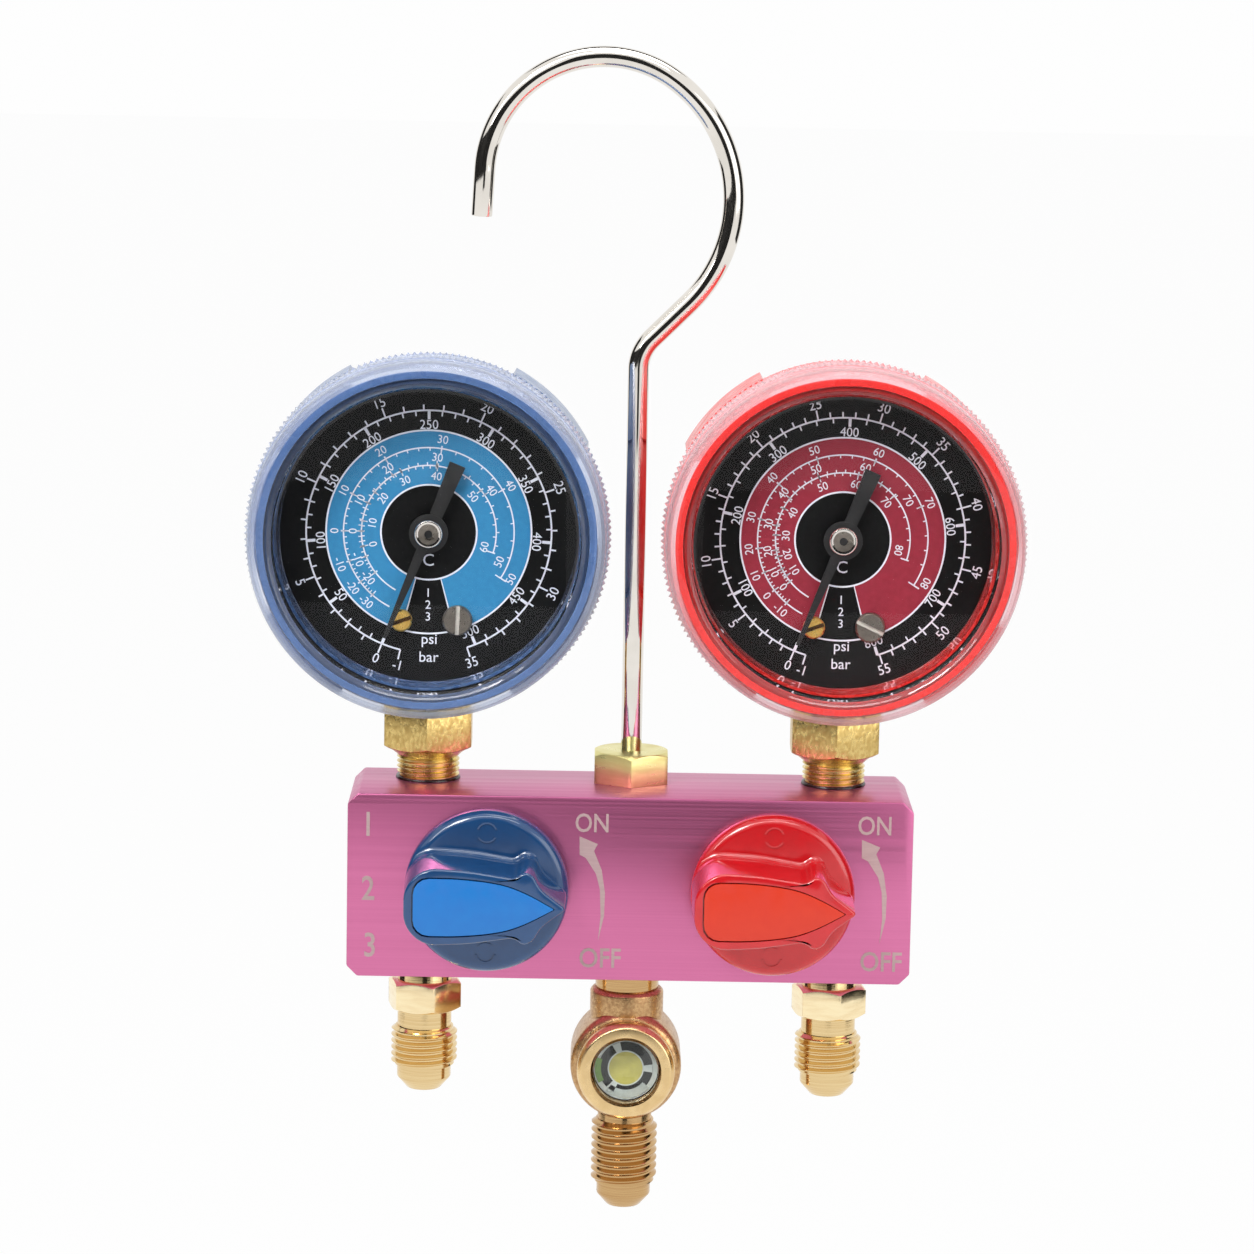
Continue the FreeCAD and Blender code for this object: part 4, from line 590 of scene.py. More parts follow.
def soften(bm, width, segments=2, angle=SHARP_ANGLE):
    """Rounds the sharp edges of a closed shape."""
    weld(bm)
    face_outwards(bm)
    edges = [e for e in bm.edges if e.is_manifold and e.calc_face_angle(0) > angle]
    bevel(bm, edges, width, segments)


def face_outwards(bm):
    bmesh.ops.recalc_face_normals(bm, faces=bm.faces)


def extend(bm, edges):
    """Draws walls out of these edges and gives their far verts and edges, which are still in place."""
    made = bmesh.ops.extrude_edge_only(bm, edges=edges)["geom"]
    return verts_of(made), edges_of(made)


def move(bm, place, verts=None):
    bmesh.ops.translate(bm, verts=list(verts) if verts else bm.verts, vec=place)


def rotate(bm, degrees, axis):
    turn = Matrix.Rotation(math.radians(degrees), 3, axis)
    bmesh.ops.rotate(bm, verts=bm.verts, cent=(0, 0, 0), matrix=turn)


def mesh_of(bm, name):
    """Turns a bmesh into a mesh and frees it."""
    mesh = bpy.data.meshes.new(name)
    bm.to_mesh(mesh)
    bm.free()
    return mesh


def add_object(name, data):
    """A new object in the scene."""
    made = bpy.data.objects.new(name, data)
    bpy.context.scene.collection.objects.link(made)
    return made


def join(target, source):
    """Adds the second bmesh to the first and frees the second."""
    mesh = mesh_of(source, "join")
    target.from_mesh(mesh)
    bpy.data.meshes.remove(mesh)


def turned(points, axis="Z", steps=96, round_edge=0.0, segments=2):
    """A closed turned shape with its edges rounded."""
    bm = bmesh.new()
    lathe(bm, points, axis, steps)
    weld(bm)
    if round_edge:
        soften(bm, round_edge, segments)
    face_outwards(bm)
    return bm


def hexagon(across, z0, z1, chamfer_low, chamfer_high, turn=0.0):
    """A hexagon nut blank with its ends turned down to a cone."""
    bm = bmesh.new()
    corner_r = across / math.sqrt(3)
    bmesh.ops.create_circle(bm, cap_ends=False, segments=6, radius=corner_r)
    bmesh.ops.subdivide_edges(bm, edges=bm.edges, cuts=9)
    slope = math.tan(math.radians(NUT_CHAMFER_ANGLE))
    inner_r = across / 2 - 0.1
    base = list(bm.edges)
    move(bm, (0, 0, z0))
    top, top_edges = extend(bm, base)
    bottom = [v for v in bm.verts if v not in set(top)]
    move(bm, (0, 0, z1 - z0), top)
    for verts, loop, sign, chamfer in ((top, top_edges, -1, chamfer_high), (bottom, base, 1, chamfer_low)):
        if chamfer:
            for vert in verts:
                vert.co.z += sign * (vert.co.xy.length - inner_r) * slope
            inner, loop = extend(bm, loop)
            for vert in inner:
                vert.co.z -= sign * (vert.co.xy.length - inner_r) * slope
                vert.co.xy *= inner_r / vert.co.xy.length
        bmesh.ops.edgeloop_fill(bm, edges=loop)
    rotate(bm, turn, "Z")
    face_outwards(bm)
    soften(bm, sizes().edge_round / MM, 2, math.radians(20))
    return bm


def thread(crest_r, root_r, top, bottom, pitch, run_out=0.7, steps=72):
    """A helical thread between two heights, with its ends run out and closed inwards."""
    bm = bmesh.new()
    count = math.ceil((top - bottom) / pitch) + 3
    points = [(crest_r if is_crest else root_r, top + pitch * (1.5 - i - share))
              for i in range(count) for is_crest, share in THREAD_SHAPE]
    verts = [bm.verts.new((r, 0, z)) for r, z in points]
    edges = [bm.edges.new(pair) for pair in zip(verts, verts[1:])]
    bmesh.ops.spin(bm, geom=verts + edges, cent=(0, 0, 0), axis=(0, 0, 1), dvec=(0, 0, pitch / steps),
                   angle=FULL_TURN, steps=steps, use_merge=False)
    bmesh.ops.remove_doubles(bm, verts=bm.verts, dist=0.01)
    for height, normal in ((top, 1), (bottom, -1)):
        everything = list(bm.verts) + list(bm.edges) + list(bm.faces)
        sliced = bmesh.ops.bisect_plane(bm, geom=everything, dist=0.0001, plane_co=(0, 0, height),
                                        plane_no=(0, 0, normal), clear_outer=True, clear_inner=False)
        for vert in extend(bm, edges_of(sliced["geom_cut"]))[0]:
            vert.co.xy *= (root_r - 1.0) / vert.co.xy.length
    for vert in bm.verts:
        reach = vert.co.xy.length
        inside = min(top - vert.co.z, vert.co.z - bottom)
        limit = root_r - 0.1 + (crest_r - root_r + 0.1) * min(1.0, max(0.0, inside) / run_out)
        if reach > limit:
            vert.co.xy *= limit / reach
    face_outwards(bm)
    return bm


def polygon(bm, corners):
    """A flat face in the XZ plane facing -Y, from (x, z, rounding) corners."""
    verts = [bm.verts.new((x, 0, z)) for x, z, _ in corners]
    face = bm.faces.new(verts)
    face.normal_update()
    if face.normal.y > 0:
        face.normal_flip()
    for vert, (_, _, rounding) in zip(verts, corners):
        bevel(bm, [vert], rounding, 4, "VERTICES")


def mirrored(upper, nose, scale=(1.0, 1.0)):
    """The whole outline from its upper half and the corner at its nose."""
    grown = [(x * scale[0], z * scale[1], rounding) for x, z, rounding in (*upper, nose)]
    return grown + [(x, -z, rounding) for x, z, rounding in reversed(grown[:-1])]


def finish(bm, name, finishes, replaced=(), place=(0, 0, 0), body="manifold", crease=SHARP_ANGLE):
    """Makes the piece: shades it, puts it in place and lets it ride on its body."""
    for face in bm.faces:
        face.smooth = True
    for edge in bm.edges:
        edge.smooth = edge.is_manifold and edge.calc_face_angle(0) < crease
    move(bm, place)
    bmesh.ops.scale(bm, verts=bm.verts, vec=(MM, MM, MM))
    mesh = mesh_of(bm, name)
    for finish_name in finishes:
        mesh.materials.append(finish_material(finish_name))
    piece = add_object(name, mesh)
    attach(piece, body)
    if replaced:
        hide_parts(*replaced)


# Printing: flat shapes seen from the front, given a little thickness at the end

def clock(turn):
    """Angle in the XZ plane of a place on the dial, given clockwise from the bottom in degrees."""
    return math.radians(270.0 - turn)


def band(bm, inner_r, outer_r, start, stop, y, index, steps=None):
    """A flat part of a ring, from one place on the dial to the next, clockwise."""
    first = clock(start)
    verts = [bm.verts.new((r * math.cos(first), y, r * math.sin(first))) for r in (inner_r, outer_r)]
    edge = bm.edges.new(verts)
    known = set(bm.faces)
    count = steps or max(1, round(abs(stop - start) / 3))
    bmesh.ops.spin(bm, geom=verts + [edge], cent=(0, 0, 0), axis=(0, 1, 0), dvec=(0, 0, 0),
                   angle=math.radians(stop - start), steps=count, use_merge=False)
    for face in set(bm.faces) - known:
        face.material_index = index


def tick(bm, turn, inner_r, outer_r, width, y, index):
    half = math.degrees(width / (inner_r + outer_r))
    band(bm, inner_r, outer_r, turn - half, turn + half, y, index, 1)


def disc(bm, radius, y, index):
    known = set(bm.faces)
    band(bm, 0.01, radius, 0, 360, y, index, 96)
    fresh = {v for f in set(bm.faces) - known for v in f.verts}
    bmesh.ops.remove_doubles(bm, verts=list(fresh), dist=0.05)


def words(bm, text, height, centre, y, index, turn=0.0, squeeze=1.0, weight=0.0):
    """Flat lettering with capitals of this height, its middle at centre (x, z), turned anticlockwise."""
    curve = bpy.data.curves.new("words", "FONT")
    curve.body = text
    curve.size = height / CAPITAL_SHARE
    curve.resolution_u = 3
    curve.offset = height * weight
    holder = add_object("words", curve)
    bpy.context.view_layer.update()
    mesh = bpy.data.meshes.new_from_object(holder.evaluated_get(bpy.context.evaluated_depsgraph_get()))
    middle = Vector([(min(v.co[i] for v in mesh.vertices) + max(v.co[i] for v in mesh.vertices)) / 2
                     for i in range(3)])
    set_out = (Matrix.Translation((centre[0], y, centre[1]))
               @ Matrix.Rotation(math.radians(-turn), 4, "Y") @ FRONT_VIEW
               @ Matrix.Diagonal((squeeze, 1.0, 1.0, 1.0)) @ Matrix.Translation(-middle))
    mesh.transform(set_out)
    known = len(bm.faces)
    bm.from_mesh(mesh)
    bm.faces.ensure_lookup_table()
    for face in bm.faces[known:]:
        face.material_index = index
    bpy.data.objects.remove(holder)
    bpy.data.curves.remove(curve)
    bpy.data.meshes.remove(mesh)


def number(bm, text, height, radius, turn, y, index, squeeze=0.95):
    """A number on the dial, that reads from outside in the upper half and from inside below."""
    angle = clock(turn)
    centre = (radius * math.cos(angle), radius * math.sin(angle))
    heading = math.degrees(angle) - 90
    flipped = turn < 80 or turn > 280
    words(bm, text, height, centre, y, index, heading + (180 if flipped else 0), squeeze)


def spoke(reach, degrees):
    """A step in the XZ plane, its angle counted anticlockwise from +X."""
    return Vector((math.cos(math.radians(degrees)), 0, math.sin(math.radians(degrees)))) * reach


def thicken(bm, depth):
    """Gives flat printing a back, this far behind its front."""
    face_outwards(bm)
    made = bmesh.ops.extrude_face_region(bm, geom=list(bm.faces))["geom"]
    move(bm, (0, depth, 0), verts_of(made))
    face_outwards(bm)


# Pieces

class MANIFOLD_OT_stage(bpy.types.Operator):
    """Make the floor, the lamps, the dark cards that metal shows, and the camera"""
    bl_idname = "manifold.stage"
    bl_label = "Stage"

    def execute(self, context):
        scene = context.scene
        scene.view_settings.view_transform = "Standard"
        self.make_world(scene)
        self.make_floor()
        self.make_lamps()
        self.make_cards()
        self.make_camera(scene)
        return {"FINISHED"}

    def seen_white(self, tree):
        """1 for the rays that show the background: from the camera, and through gloss and glass."""
        path = tree.nodes.new("ShaderNodeLightPath").outputs
        either = combine(tree, "MAXIMUM", path["Is Camera Ray"], path["Is Glossy Ray"])
        return combine(tree, "MAXIMUM", either, path["Is Transmission Ray"])

    def make_world(self, scene):
        world = bpy.data.worlds.new("Studio")
        world.use_nodes = True
        scene.world = world
        tree = world.node_tree
        light = tree.nodes["Background"]
        set_up(tree, light, Color=(1.0, 1.0, 1.0, 1.0), Strength=0.5)
        shown = add_node(tree, "Background", Color=(0.99, 0.99, 0.99, 1.0), Strength=1.0)
        show_either(tree, self.seen_white(tree), light.outputs["Background"], shown, "World Output")

    def make_floor(self):
        made = new_material("Pale Floor", srgb(0.95, 0.95, 0.95), 0.8)
        tree = made.node_tree
        glow = add_node(tree, "Emission", Color=(0.992, 0.992, 0.992, 1.0))
        share = combine(tree, "MULTIPLY", self.seen_white(tree), 0.97)
        show_either(tree, share, tree.nodes["Principled BSDF"].outputs["BSDF"], glow, "Material Output")
        self.make_sheet("floor", FLOOR_HALF, FLOOR_HALF, Matrix.Translation((0, 0, FLOOR_HEIGHT)), made)

    def make_sheet(self, name, half_width, half_height, placement, finish_made):
        """A flat rectangle of the stage."""
        bm = bmesh.new()
        bmesh.ops.create_grid(bm, x_segments=1, y_segments=1, size=1.0)
        bmesh.ops.scale(bm, verts=bm.verts, vec=(half_width, half_height, 1.0))
        mesh = mesh_of(bm, name)
        mesh.transform(placement)
        mesh.materials.append(finish_made)
        sheet = add_object(name, mesh)
        return sheet

    def make_lamps(self):
        for name, place, size, power in LAMPS:
            lamp = bpy.data.lights.new(name, "AREA")
            lamp.size = size
            lamp.energy = power
            holder = add_object(name, lamp)
            holder.location = place
            aim = Vector(place) - LAMP_TARGET
            holder.rotation_euler = aim.to_track_quat("Z", "Y").to_euler()

    def make_cards(self):
        """Dark and bright cards that only gloss can show, so that metal and plastic have contrast."""
        dark = new_material("Dark Card", srgb(0.06, 0.06, 0.06), 0.9)
        bright = new_material("Bright Card", srgb(1.0, 1.0, 1.0), 0.9)
        tree = bright.node_tree
        set_up(tree, tree.nodes["Principled BSDF"], Emission_Color=(1.0, 1.0, 1.0, 1.0),
               Emission_Strength=9.0)
        for name, is_bright, place, half_width, half_height, aim in CARDS:
            facing = Vector(place) - Vector((0.0, 0.0, aim))
            placement = Matrix.Translation(place) @ facing.to_track_quat("Z", "Y").to_matrix().to_4x4()
            card = self.make_sheet(name, half_width, half_height, placement, bright if is_bright else dark)
            card.visible_camera = False
            card.visible_diffuse = False
            card.visible_shadow = False

    def make_camera(self, scene):
        camera = bpy.data.cameras.new("camera")
        camera.sensor_width = 36.0
        camera.lens = CAMERA_LENS
        camera.clip_start = 0.01
        camera.clip_end = 20.0
        holder = add_object("camera", camera)
        place = Vector(CAMERA_PLACE) * MM
        aim = (place - Vector(CAMERA_TARGET) * MM).to_track_quat("Z", "Y").to_matrix().to_4x4()
        roll = Matrix.Rotation(math.radians(CAMERA_ROLL), 4, "Z")
        holder.matrix_world = Matrix.Translation(place) @ aim @ roll
        scene.camera = holder


class MANIFOLD_OT_block(bpy.types.Operator):
    """Make the anodised block with its plug and markings, and at each gauge stem a dark bead: thread sealant,
    darkened as painted shade where the stem meets the block
    """
    bl_idname = "manifold.block"
    bl_label = "Block"

    def execute(self, context):
        low, high = low_of("manifold_block"), high_of("manifold_block")
        size = high - low
        bm = cuboid(size)
        corners = [e for e in bm.edges if abs((e.verts[0].co - e.verts[1].co).y) > size.y / 2]
        bevel(bm, corners, BLOCK_CHAMFER, 1)
        soften(bm, sizes().edge_round / MM, 2)
        finish(bm, "block", [ANODISED], ["manifold_block"], (low + high) / 2)
        self.make_marks(low.y)
        self.make_plug()
        for side in SIDES:
            stem = centre_of(side + "_gauge_seal")
            stem.z = high.z
            # A dark bead at the stem's foot: thread sealant and painted shade
            bead = turned(SEALANT_AND_SHADE, steps=64, round_edge=0.2)
            finish(bead, side + "_sealant_and_shade", ["Thread Sealant And Painted Shade"], [side + "_gauge_seal"], stem)
        return {"FINISHED"}

    def make_plug(self):
        """The dished plug in the block's end, where the cross drilling comes out."""
        start = low_of("gallery_plug")
        size = high_of("gallery_plug") - start
        radius = size.z / 2
        outline = [(radius * share, -proud) for share, proud in PLUG_DISH]
        bm = turned([*outline, (radius, size.x), (0, size.x)], "Y", 48, 0.02)
        rotate(bm, -90, "Z")
        place = centre_of("gallery_plug")
        place.x = start.x
        finish(bm, "drilling_plug", ["Turned Brass"], ["gallery_plug"], place)

    def make_marks(self, front):
        bm = bmesh.new()
        for text, height, x, z, squeeze in BLOCK_WORDS:
            words(bm, text, height, (x, z), 0, 0, 0, squeeze, BLOCK_WORD_WEIGHT)
        for shift in (0.0, ARROW_SHIFT):
            lift = shift * ARROW_SLOPE
            bm.faces.new([bm.verts.new((x + shift, 0, z + lift)) for x, z in reversed(ARROW)])
        thicken(bm, MARK_THICK)
        finish(bm, "block_marks", ["Grey Marking"], (), (0, front - MARK_PROUD, 0))


class MANIFOLD_OT_hook(bpy.types.Operator):
    """Make the bent hook and its nut"""
    bl_idname = "manifold.hook"
    bl_label = "Hook"

    def execute(self, context):
        place = centre_of("hook_nut")
        place.z = high_of("manifold_block").z
        blank = hexagon(HOOK_NUT, 0, HOOK_NUT_HEIGHT, False, True)
        join(blank, turned(NUT_TENON))
        finish(blank, "hook_nut_blank", ["Rosy Brass"], ["hook_nut"], place)
        finish(self.make_rod(), "hook_rod", ["Bright Nickel"], ["hook"], place, "hook")
        return {"FINISHED"}

    def make_rod(self):
        """One round rod: up, slanting to the right, and back over in two arcs to the open leg."""
        bm = bmesh.new()
        bmesh.ops.create_circle(bm, cap_ends=False, segments=48, radius=ROD_R)
        end = list(bm.edges)
        slant = math.radians(HOOK_SLANT)
        tangent = HOOK_BEND_R * math.tan(slant / 2)
        heading = Vector((math.sin(slant), 0, math.cos(slant)))
        corner = Vector((0, 0, HOOK_RISE))
        large = corner + heading * CROOK_SLANT_RUN - spoke(CROOK_LARGE_R, -HOOK_SLANT)
        small = large + spoke(CROOK_LARGE_R - CROOK_SMALL_R, CROOK_JOIN_ANGLE)
        end = self.run_on(bm, end, (0, 0, HOOK_RISE - tangent))
        end = self.bend(bm, end, Vector((HOOK_BEND_R, 0, HOOK_RISE - tangent)), HOOK_SLANT, 16)
        end = self.run_on(bm, end, heading * (CROOK_SLANT_RUN - tangent))
        end = self.bend(bm, end, large, -HOOK_SLANT - CROOK_JOIN_ANGLE, 48)
        end = self.bend(bm, end, small, CROOK_JOIN_ANGLE - CROOK_END_ANGLE, 56)
        self.run_on(bm, end, spoke(HOOK_LEG, CROOK_END_ANGLE + 90))
        bmesh.ops.holes_fill(bm, edges=[e for e in bm.edges if e.is_boundary], sides=0)
        soften(bm, 0.3)
        return bm

    def run_on(self, bm, edges, way):
        """Carries the rod straight on."""
        far, edges = extend(bm, edges)
        move(bm, way, far)
        return edges

    def bend(self, bm, edges, centre, degrees, steps):
        """Carries the rod on round a centre: positive turns clockwise as seen from the front."""
        ends = list({v for e in edges for v in e.verts}) + edges
        spun = bmesh.ops.spin(bm, geom=ends, cent=centre, axis=(0, 1, 0), dvec=(0, 0, 0),
                              angle=math.radians(degrees), steps=steps, use_merge=False)
        return edges_of(spun["geom_last"])


class MANIFOLD_OT_ports(bpy.types.Operator):
    """Make the two side ports with their hexagons and threads"""
    bl_idname = "manifold.ports"
    bl_label = "Side Ports"

    def execute(self, context):
        face = low_of("manifold_block").z
        for side in SIDES:
            node = side + "_port_fitting"
            place = centre_of(node)
            place.z = 0
            hex_top = face - PORT_NECK
            hex_bottom = hex_top - PORT_HEX_HEIGHT
            thread_top = hex_bottom - PORT_GAP
            thread_bottom = thread_top - PORT_THREAD
            bm = spindle(face + 2, thread_top, thread_bottom)
            join(bm, thread(THREAD_R, THREAD_ROOT_R, thread_top, thread_bottom, sizes().thread_pitch / MM))
            finish(bm, side + "_port_spindle", ["Turned Brass"], [node], place)
            blank = hexagon(PORT_HEX, hex_bottom, hex_top, True, True, PORT_HEX_TURN)
            finish(blank, side + "_port_hexagon", ["Bright Milled Brass"], (), place)
        return {"FINISHED"}


def spindle(top, thread_top, thread_bottom):
    """The plain turned part of a port, hollow at its end, with the rounded nose below the thread."""
    nose = thread_bottom - NOSE_HEIGHT
    tip = nose - NOSE_CONE
    return turned([(0, top), (NECK_R, top), (NECK_R, nose), (NOSE_R, tip), (BORE_R, tip), (BORE_R, tip + 6),
                   (0, tip + 6)], round_edge=0.25)


class MANIFOLD_OT_sight_glass(bpy.types.Operator):
    """Make the centre port with its barrel, ring, window and moisture indicator"""
    bl_idname = "manifold.sight_glass"
    bl_label = "Sight Glass"

    def execute(self, context):
        place = centre_of("sight_glass_window")
        place.y = centre_of("low_port_fitting").y
        face = low_of("manifold_block").z - place.z
        barrel = turned(BARREL, "Y", round_edge=0.6, segments=3)
        join(barrel, turned(COLLAR, round_edge=0.2))
        finish(barrel, "sight_glass_barrel", ["Cast Brass"], ["sight_glass_body"], place)
        thread_top = -BARREL_R - 1.2
        thread_bottom = thread_top - CENTRE_THREAD
        neck = turned([(0, 13), (6.1, 13), (6.1, face - 0.8), (6.6, face - 0.5), (6.6, face), (0, face)],
                      round_edge=0.15)
        join(neck, spindle(-6, thread_top, thread_bottom))
        pitch = sizes().thread_pitch / MM * CENTRE_PITCH_SCALE
        join(neck, thread(THREAD_R, THREAD_ROOT_R, thread_top, thread_bottom, pitch))
        finish(neck, "sight_glass_neck", ["Rosy Turned Brass"], (), place)
        ring = turned(RIM, "Y")
        soften(ring, 0.25)
        finish(ring, "sight_glass_rim", ["Faced Brass"], ["sight_glass_ring"], place)
        glass = turned(PANE, "Y", round_edge=0.1)
        finish(glass, "sight_glass_pane", ["Clear Glass"], ["sight_glass_window"], place)
        self.make_indicator(place)
        return {"FINISHED"}

    def make_indicator(self, place):
        """The round indicator card: black, yellow, white, green and grey fields."""
        bm = bmesh.new()
        for radius, y, field in INDICATOR_DISCS:
            disc(bm, radius, y, field)
        for turn in INDICATOR_SPOKES:
            tick(bm, turn, 3.35, 5.0, 1.3, INDICATOR_FRONT, 2)
        for inner_r, outer_r, start, stop, field in INDICATOR_ARCS:
            band(bm, inner_r, outer_r, start, stop, INDICATOR_FRONT, field)
        thicken(bm, 0.5)
        finishes = ["Black Dial Paint", "Indicator Yellow", "Indicator White", "Indicator Green",
                    "Indicator Grey"]
        finish(bm, "indicator_face", finishes, ["moisture_indicator"], place)


class MANIFOLD_OT_gauges(bpy.types.Operator):
    """Make the gauge stems and the clear caps, and give the cases their plastic"""
    bl_idname = "manifold.gauges"
    bl_label = "Gauge Housings"

    def execute(self, context):
        for side in SIDES:
            place = centre_of(side + "_dial")
            place.y = 0
            self.make_lens(side, place)
            self.make_stem(side, place)
            paint(side + "_gauge_case", side.capitalize() + " Housing Plastic")
        return {"FINISHED"}

    def make_lens(self, side, place):
        bm = bmesh.new()
        lathe(bm, LENS, "Y", LENS_COLUMNS)
        weld(bm)
        for vert in bm.verts:
            for parity, row in enumerate(KNURL_ROWS):
                radius = math.hypot(vert.co.x, vert.co.z)
                column = round(math.atan2(vert.co.z, vert.co.x) / FULL_TURN * LENS_COLUMNS)
                on_row = abs(vert.co.y - row) < NEAR and abs(radius - KNURL_BASE_R) < NEAR
                if on_row and column % 2 == parity:
                    vert.co.xz *= KNURL_PEAK_R / radius
        face_outwards(bm)
        for face in bm.faces:
            middle = face.calc_center_median()
            reach = math.hypot(middle.x, middle.z)
            face.material_index = 1 if reach > FROST_R else 2 if reach < WINDOW_R - 0.1 else 0
        finish(bm, side + "_cap", ["Clear Cap", side.capitalize() + " Frosted Cap", "Clear Window"],
               [side + "_gauge_lens"], place, crease=KNURL_CREASE)

    def make_stem(self, side, place):
        base = low_of(side + "_gauge_seal").z - place.z
        hex_bottom = base + STEM_HEX_BOTTOM
        hex_top = base + STEM_HEX_TOP
        stem = turned([(0, base - 6), (STEM_ROOT_R, base - 6), (STEM_ROOT_R, base + 4.0), (5.9, base + 4.5),
                       (6.4, base + 5.0), (7.3, base + 5.7), (8.0, hex_bottom), (8.0, hex_bottom + 1),
                       (7.5, hex_top), (7.5, -33), (0, -33)], round_edge=0.15)
        join(stem, thread(STEM_THREAD_R, STEM_ROOT_R, base + 4.6, base - 1.0, sizes().stem_pitch / MM, 0.4))
        finish(stem, side + "_stem", ["Stem Brass"], (), place)
        blank = hexagon(GAUGE_HEX, hex_bottom, hex_top, True, False)
        body = cuboid(SOCKET_BODY)
        move(body, SOCKET_PLACE)
        soften(body, 0.3)
        join(blank, body)
        finish(blank, side + "_socket", ["Milled Brass"], [side + "_gauge_socket"], place)


class MANIFOLD_OT_dials(bpy.types.Operator):
    """Print the two dials"""
    bl_idname = "manifold.dials"
    bl_label = "Dials"

    def execute(self, context):
        for side in SIDES:
            self.make_dial(side, *DIALS[side], *TEMPERATURES[side])
        return {"FINISHED"}

    def make_dial(self, side, top_bar, top_psi, psi_step, bar_turn, psi_turn, *temperatures):
        """Prints the scales: a bar and a psi take up bar_turn and psi_turn degrees of the dial."""
        bm = bmesh.new()
        colour = (DIAL_FRONT - LAYER, COLOUR)
        black = (DIAL_FRONT - 2 * LAYER, BLACK)
        white = (DIAL_FRONT - 3 * LAYER, WHITE)
        disc(bm, COLOUR_R, *colour)
        band(bm, COLOUR_R, DIAL_EDGE_R, 0, 360, colour[0], BLACK, 96)
        disc(bm, CENTRE_R, *black)
        band(bm, CENTRE_R, COLOUR_R, -WEDGE_HALF, WEDGE_HALF, *black)
        last = ZERO_TURN + max(top_bar * bar_turn, top_psi * psi_turn)
        self.make_lines(bm, ZERO_TURN - bar_turn, last, white)
        for bar in range(-1, top_bar + 1):
            turn = ZERO_TURN + bar * bar_turn
            major = bar % 5 == 0 or bar == -1
            tick(bm, turn, SCALE_R, SCALE_R + (LONG_BAR_MARK if major else SHORT_BAR_MARK), 0.3, *white)
            if major:
                number(bm, str(bar), *BAR_TEXT, turn, *white)
        for psi in range(0, top_psi + 1, psi_step // 5):
            turn = ZERO_TURN + psi * psi_turn
            major = psi % psi_step == 0
            reach = LONG_PSI_MARK if major else SHORT_PSI_MARK
            tick(bm, turn, SCALE_R - reach, SCALE_R, 0.55 if major else 0.28, *white)
            if major and psi:
                number(bm, str(psi), *PSI_TEXT, turn, *white)
        for marks, (radius, way, height, text_r) in zip(temperatures, ARCS):
            for value, turn in marks:
                number(bm, str(value), height, text_r, turn, *white)
            self.make_arc_ticks(bm, radius, marks, white, way)
        for text, height, x, z in DIAL_WORDS:
            words(bm, text, height, (x, z), *white)
        thicken(bm, PRINT_THICK)
        place = centre_of(side + "_dial")
        place.y = 0
        finishes = ["Black Dial Paint", side.capitalize() + " Dial Paint", "White Dial Print"]
        finish(bm, side + "_dial_print", finishes, (), place)
        paint(side + "_dial", "Black Dial Paint")

    def make_lines(self, bm, start, last, layer):
        """The rings of the scales and the sides of the black wedge."""
        for radius, width, first, stop in (
                (SCALE_R, LINE, start, last), (COLOUR_R, LINE, 0, 360), (CENTRE_R, LINE, 0, 360),
                (OUTER_ARC_R, ARC_LINE, *OUTER_ARC), (INNER_ARC_R, ARC_LINE, *INNER_ARC)):
            band(bm, radius - width / 2, radius + width / 2, first, stop, *layer)
        for turn, inner_r, outer_r in (
                (-WEDGE_HALF, CENTRE_R, COLOUR_R), (WEDGE_HALF, CENTRE_R, COLOUR_R),
                (OUTER_ARC[1], OUTER_ARC_R - 1.2, OUTER_ARC_R + 1.2),
                (INNER_ARC[1], INNER_ARC_R - 1.2, INNER_ARC_R + 0.4)):
            tick(bm, turn, inner_r, outer_r, 0.25, *layer)

    def make_arc_ticks(self, bm, radius, marks, layer, way):
        """Long ticks at the numbers and four short ones between each two."""
        for (_, first), (_, second) in zip(marks, marks[1:]):
            for i in range(5):
                turn = first + (second - first) * i / 5
                reach = 0.6 if i else 1.0
                tick(bm, turn, *sorted((radius, radius + way * reach)), 0.2, *layer)
                if i == 0:
                    tick(bm, turn, radius - 0.5, radius + 0.5, 0.28, *layer)


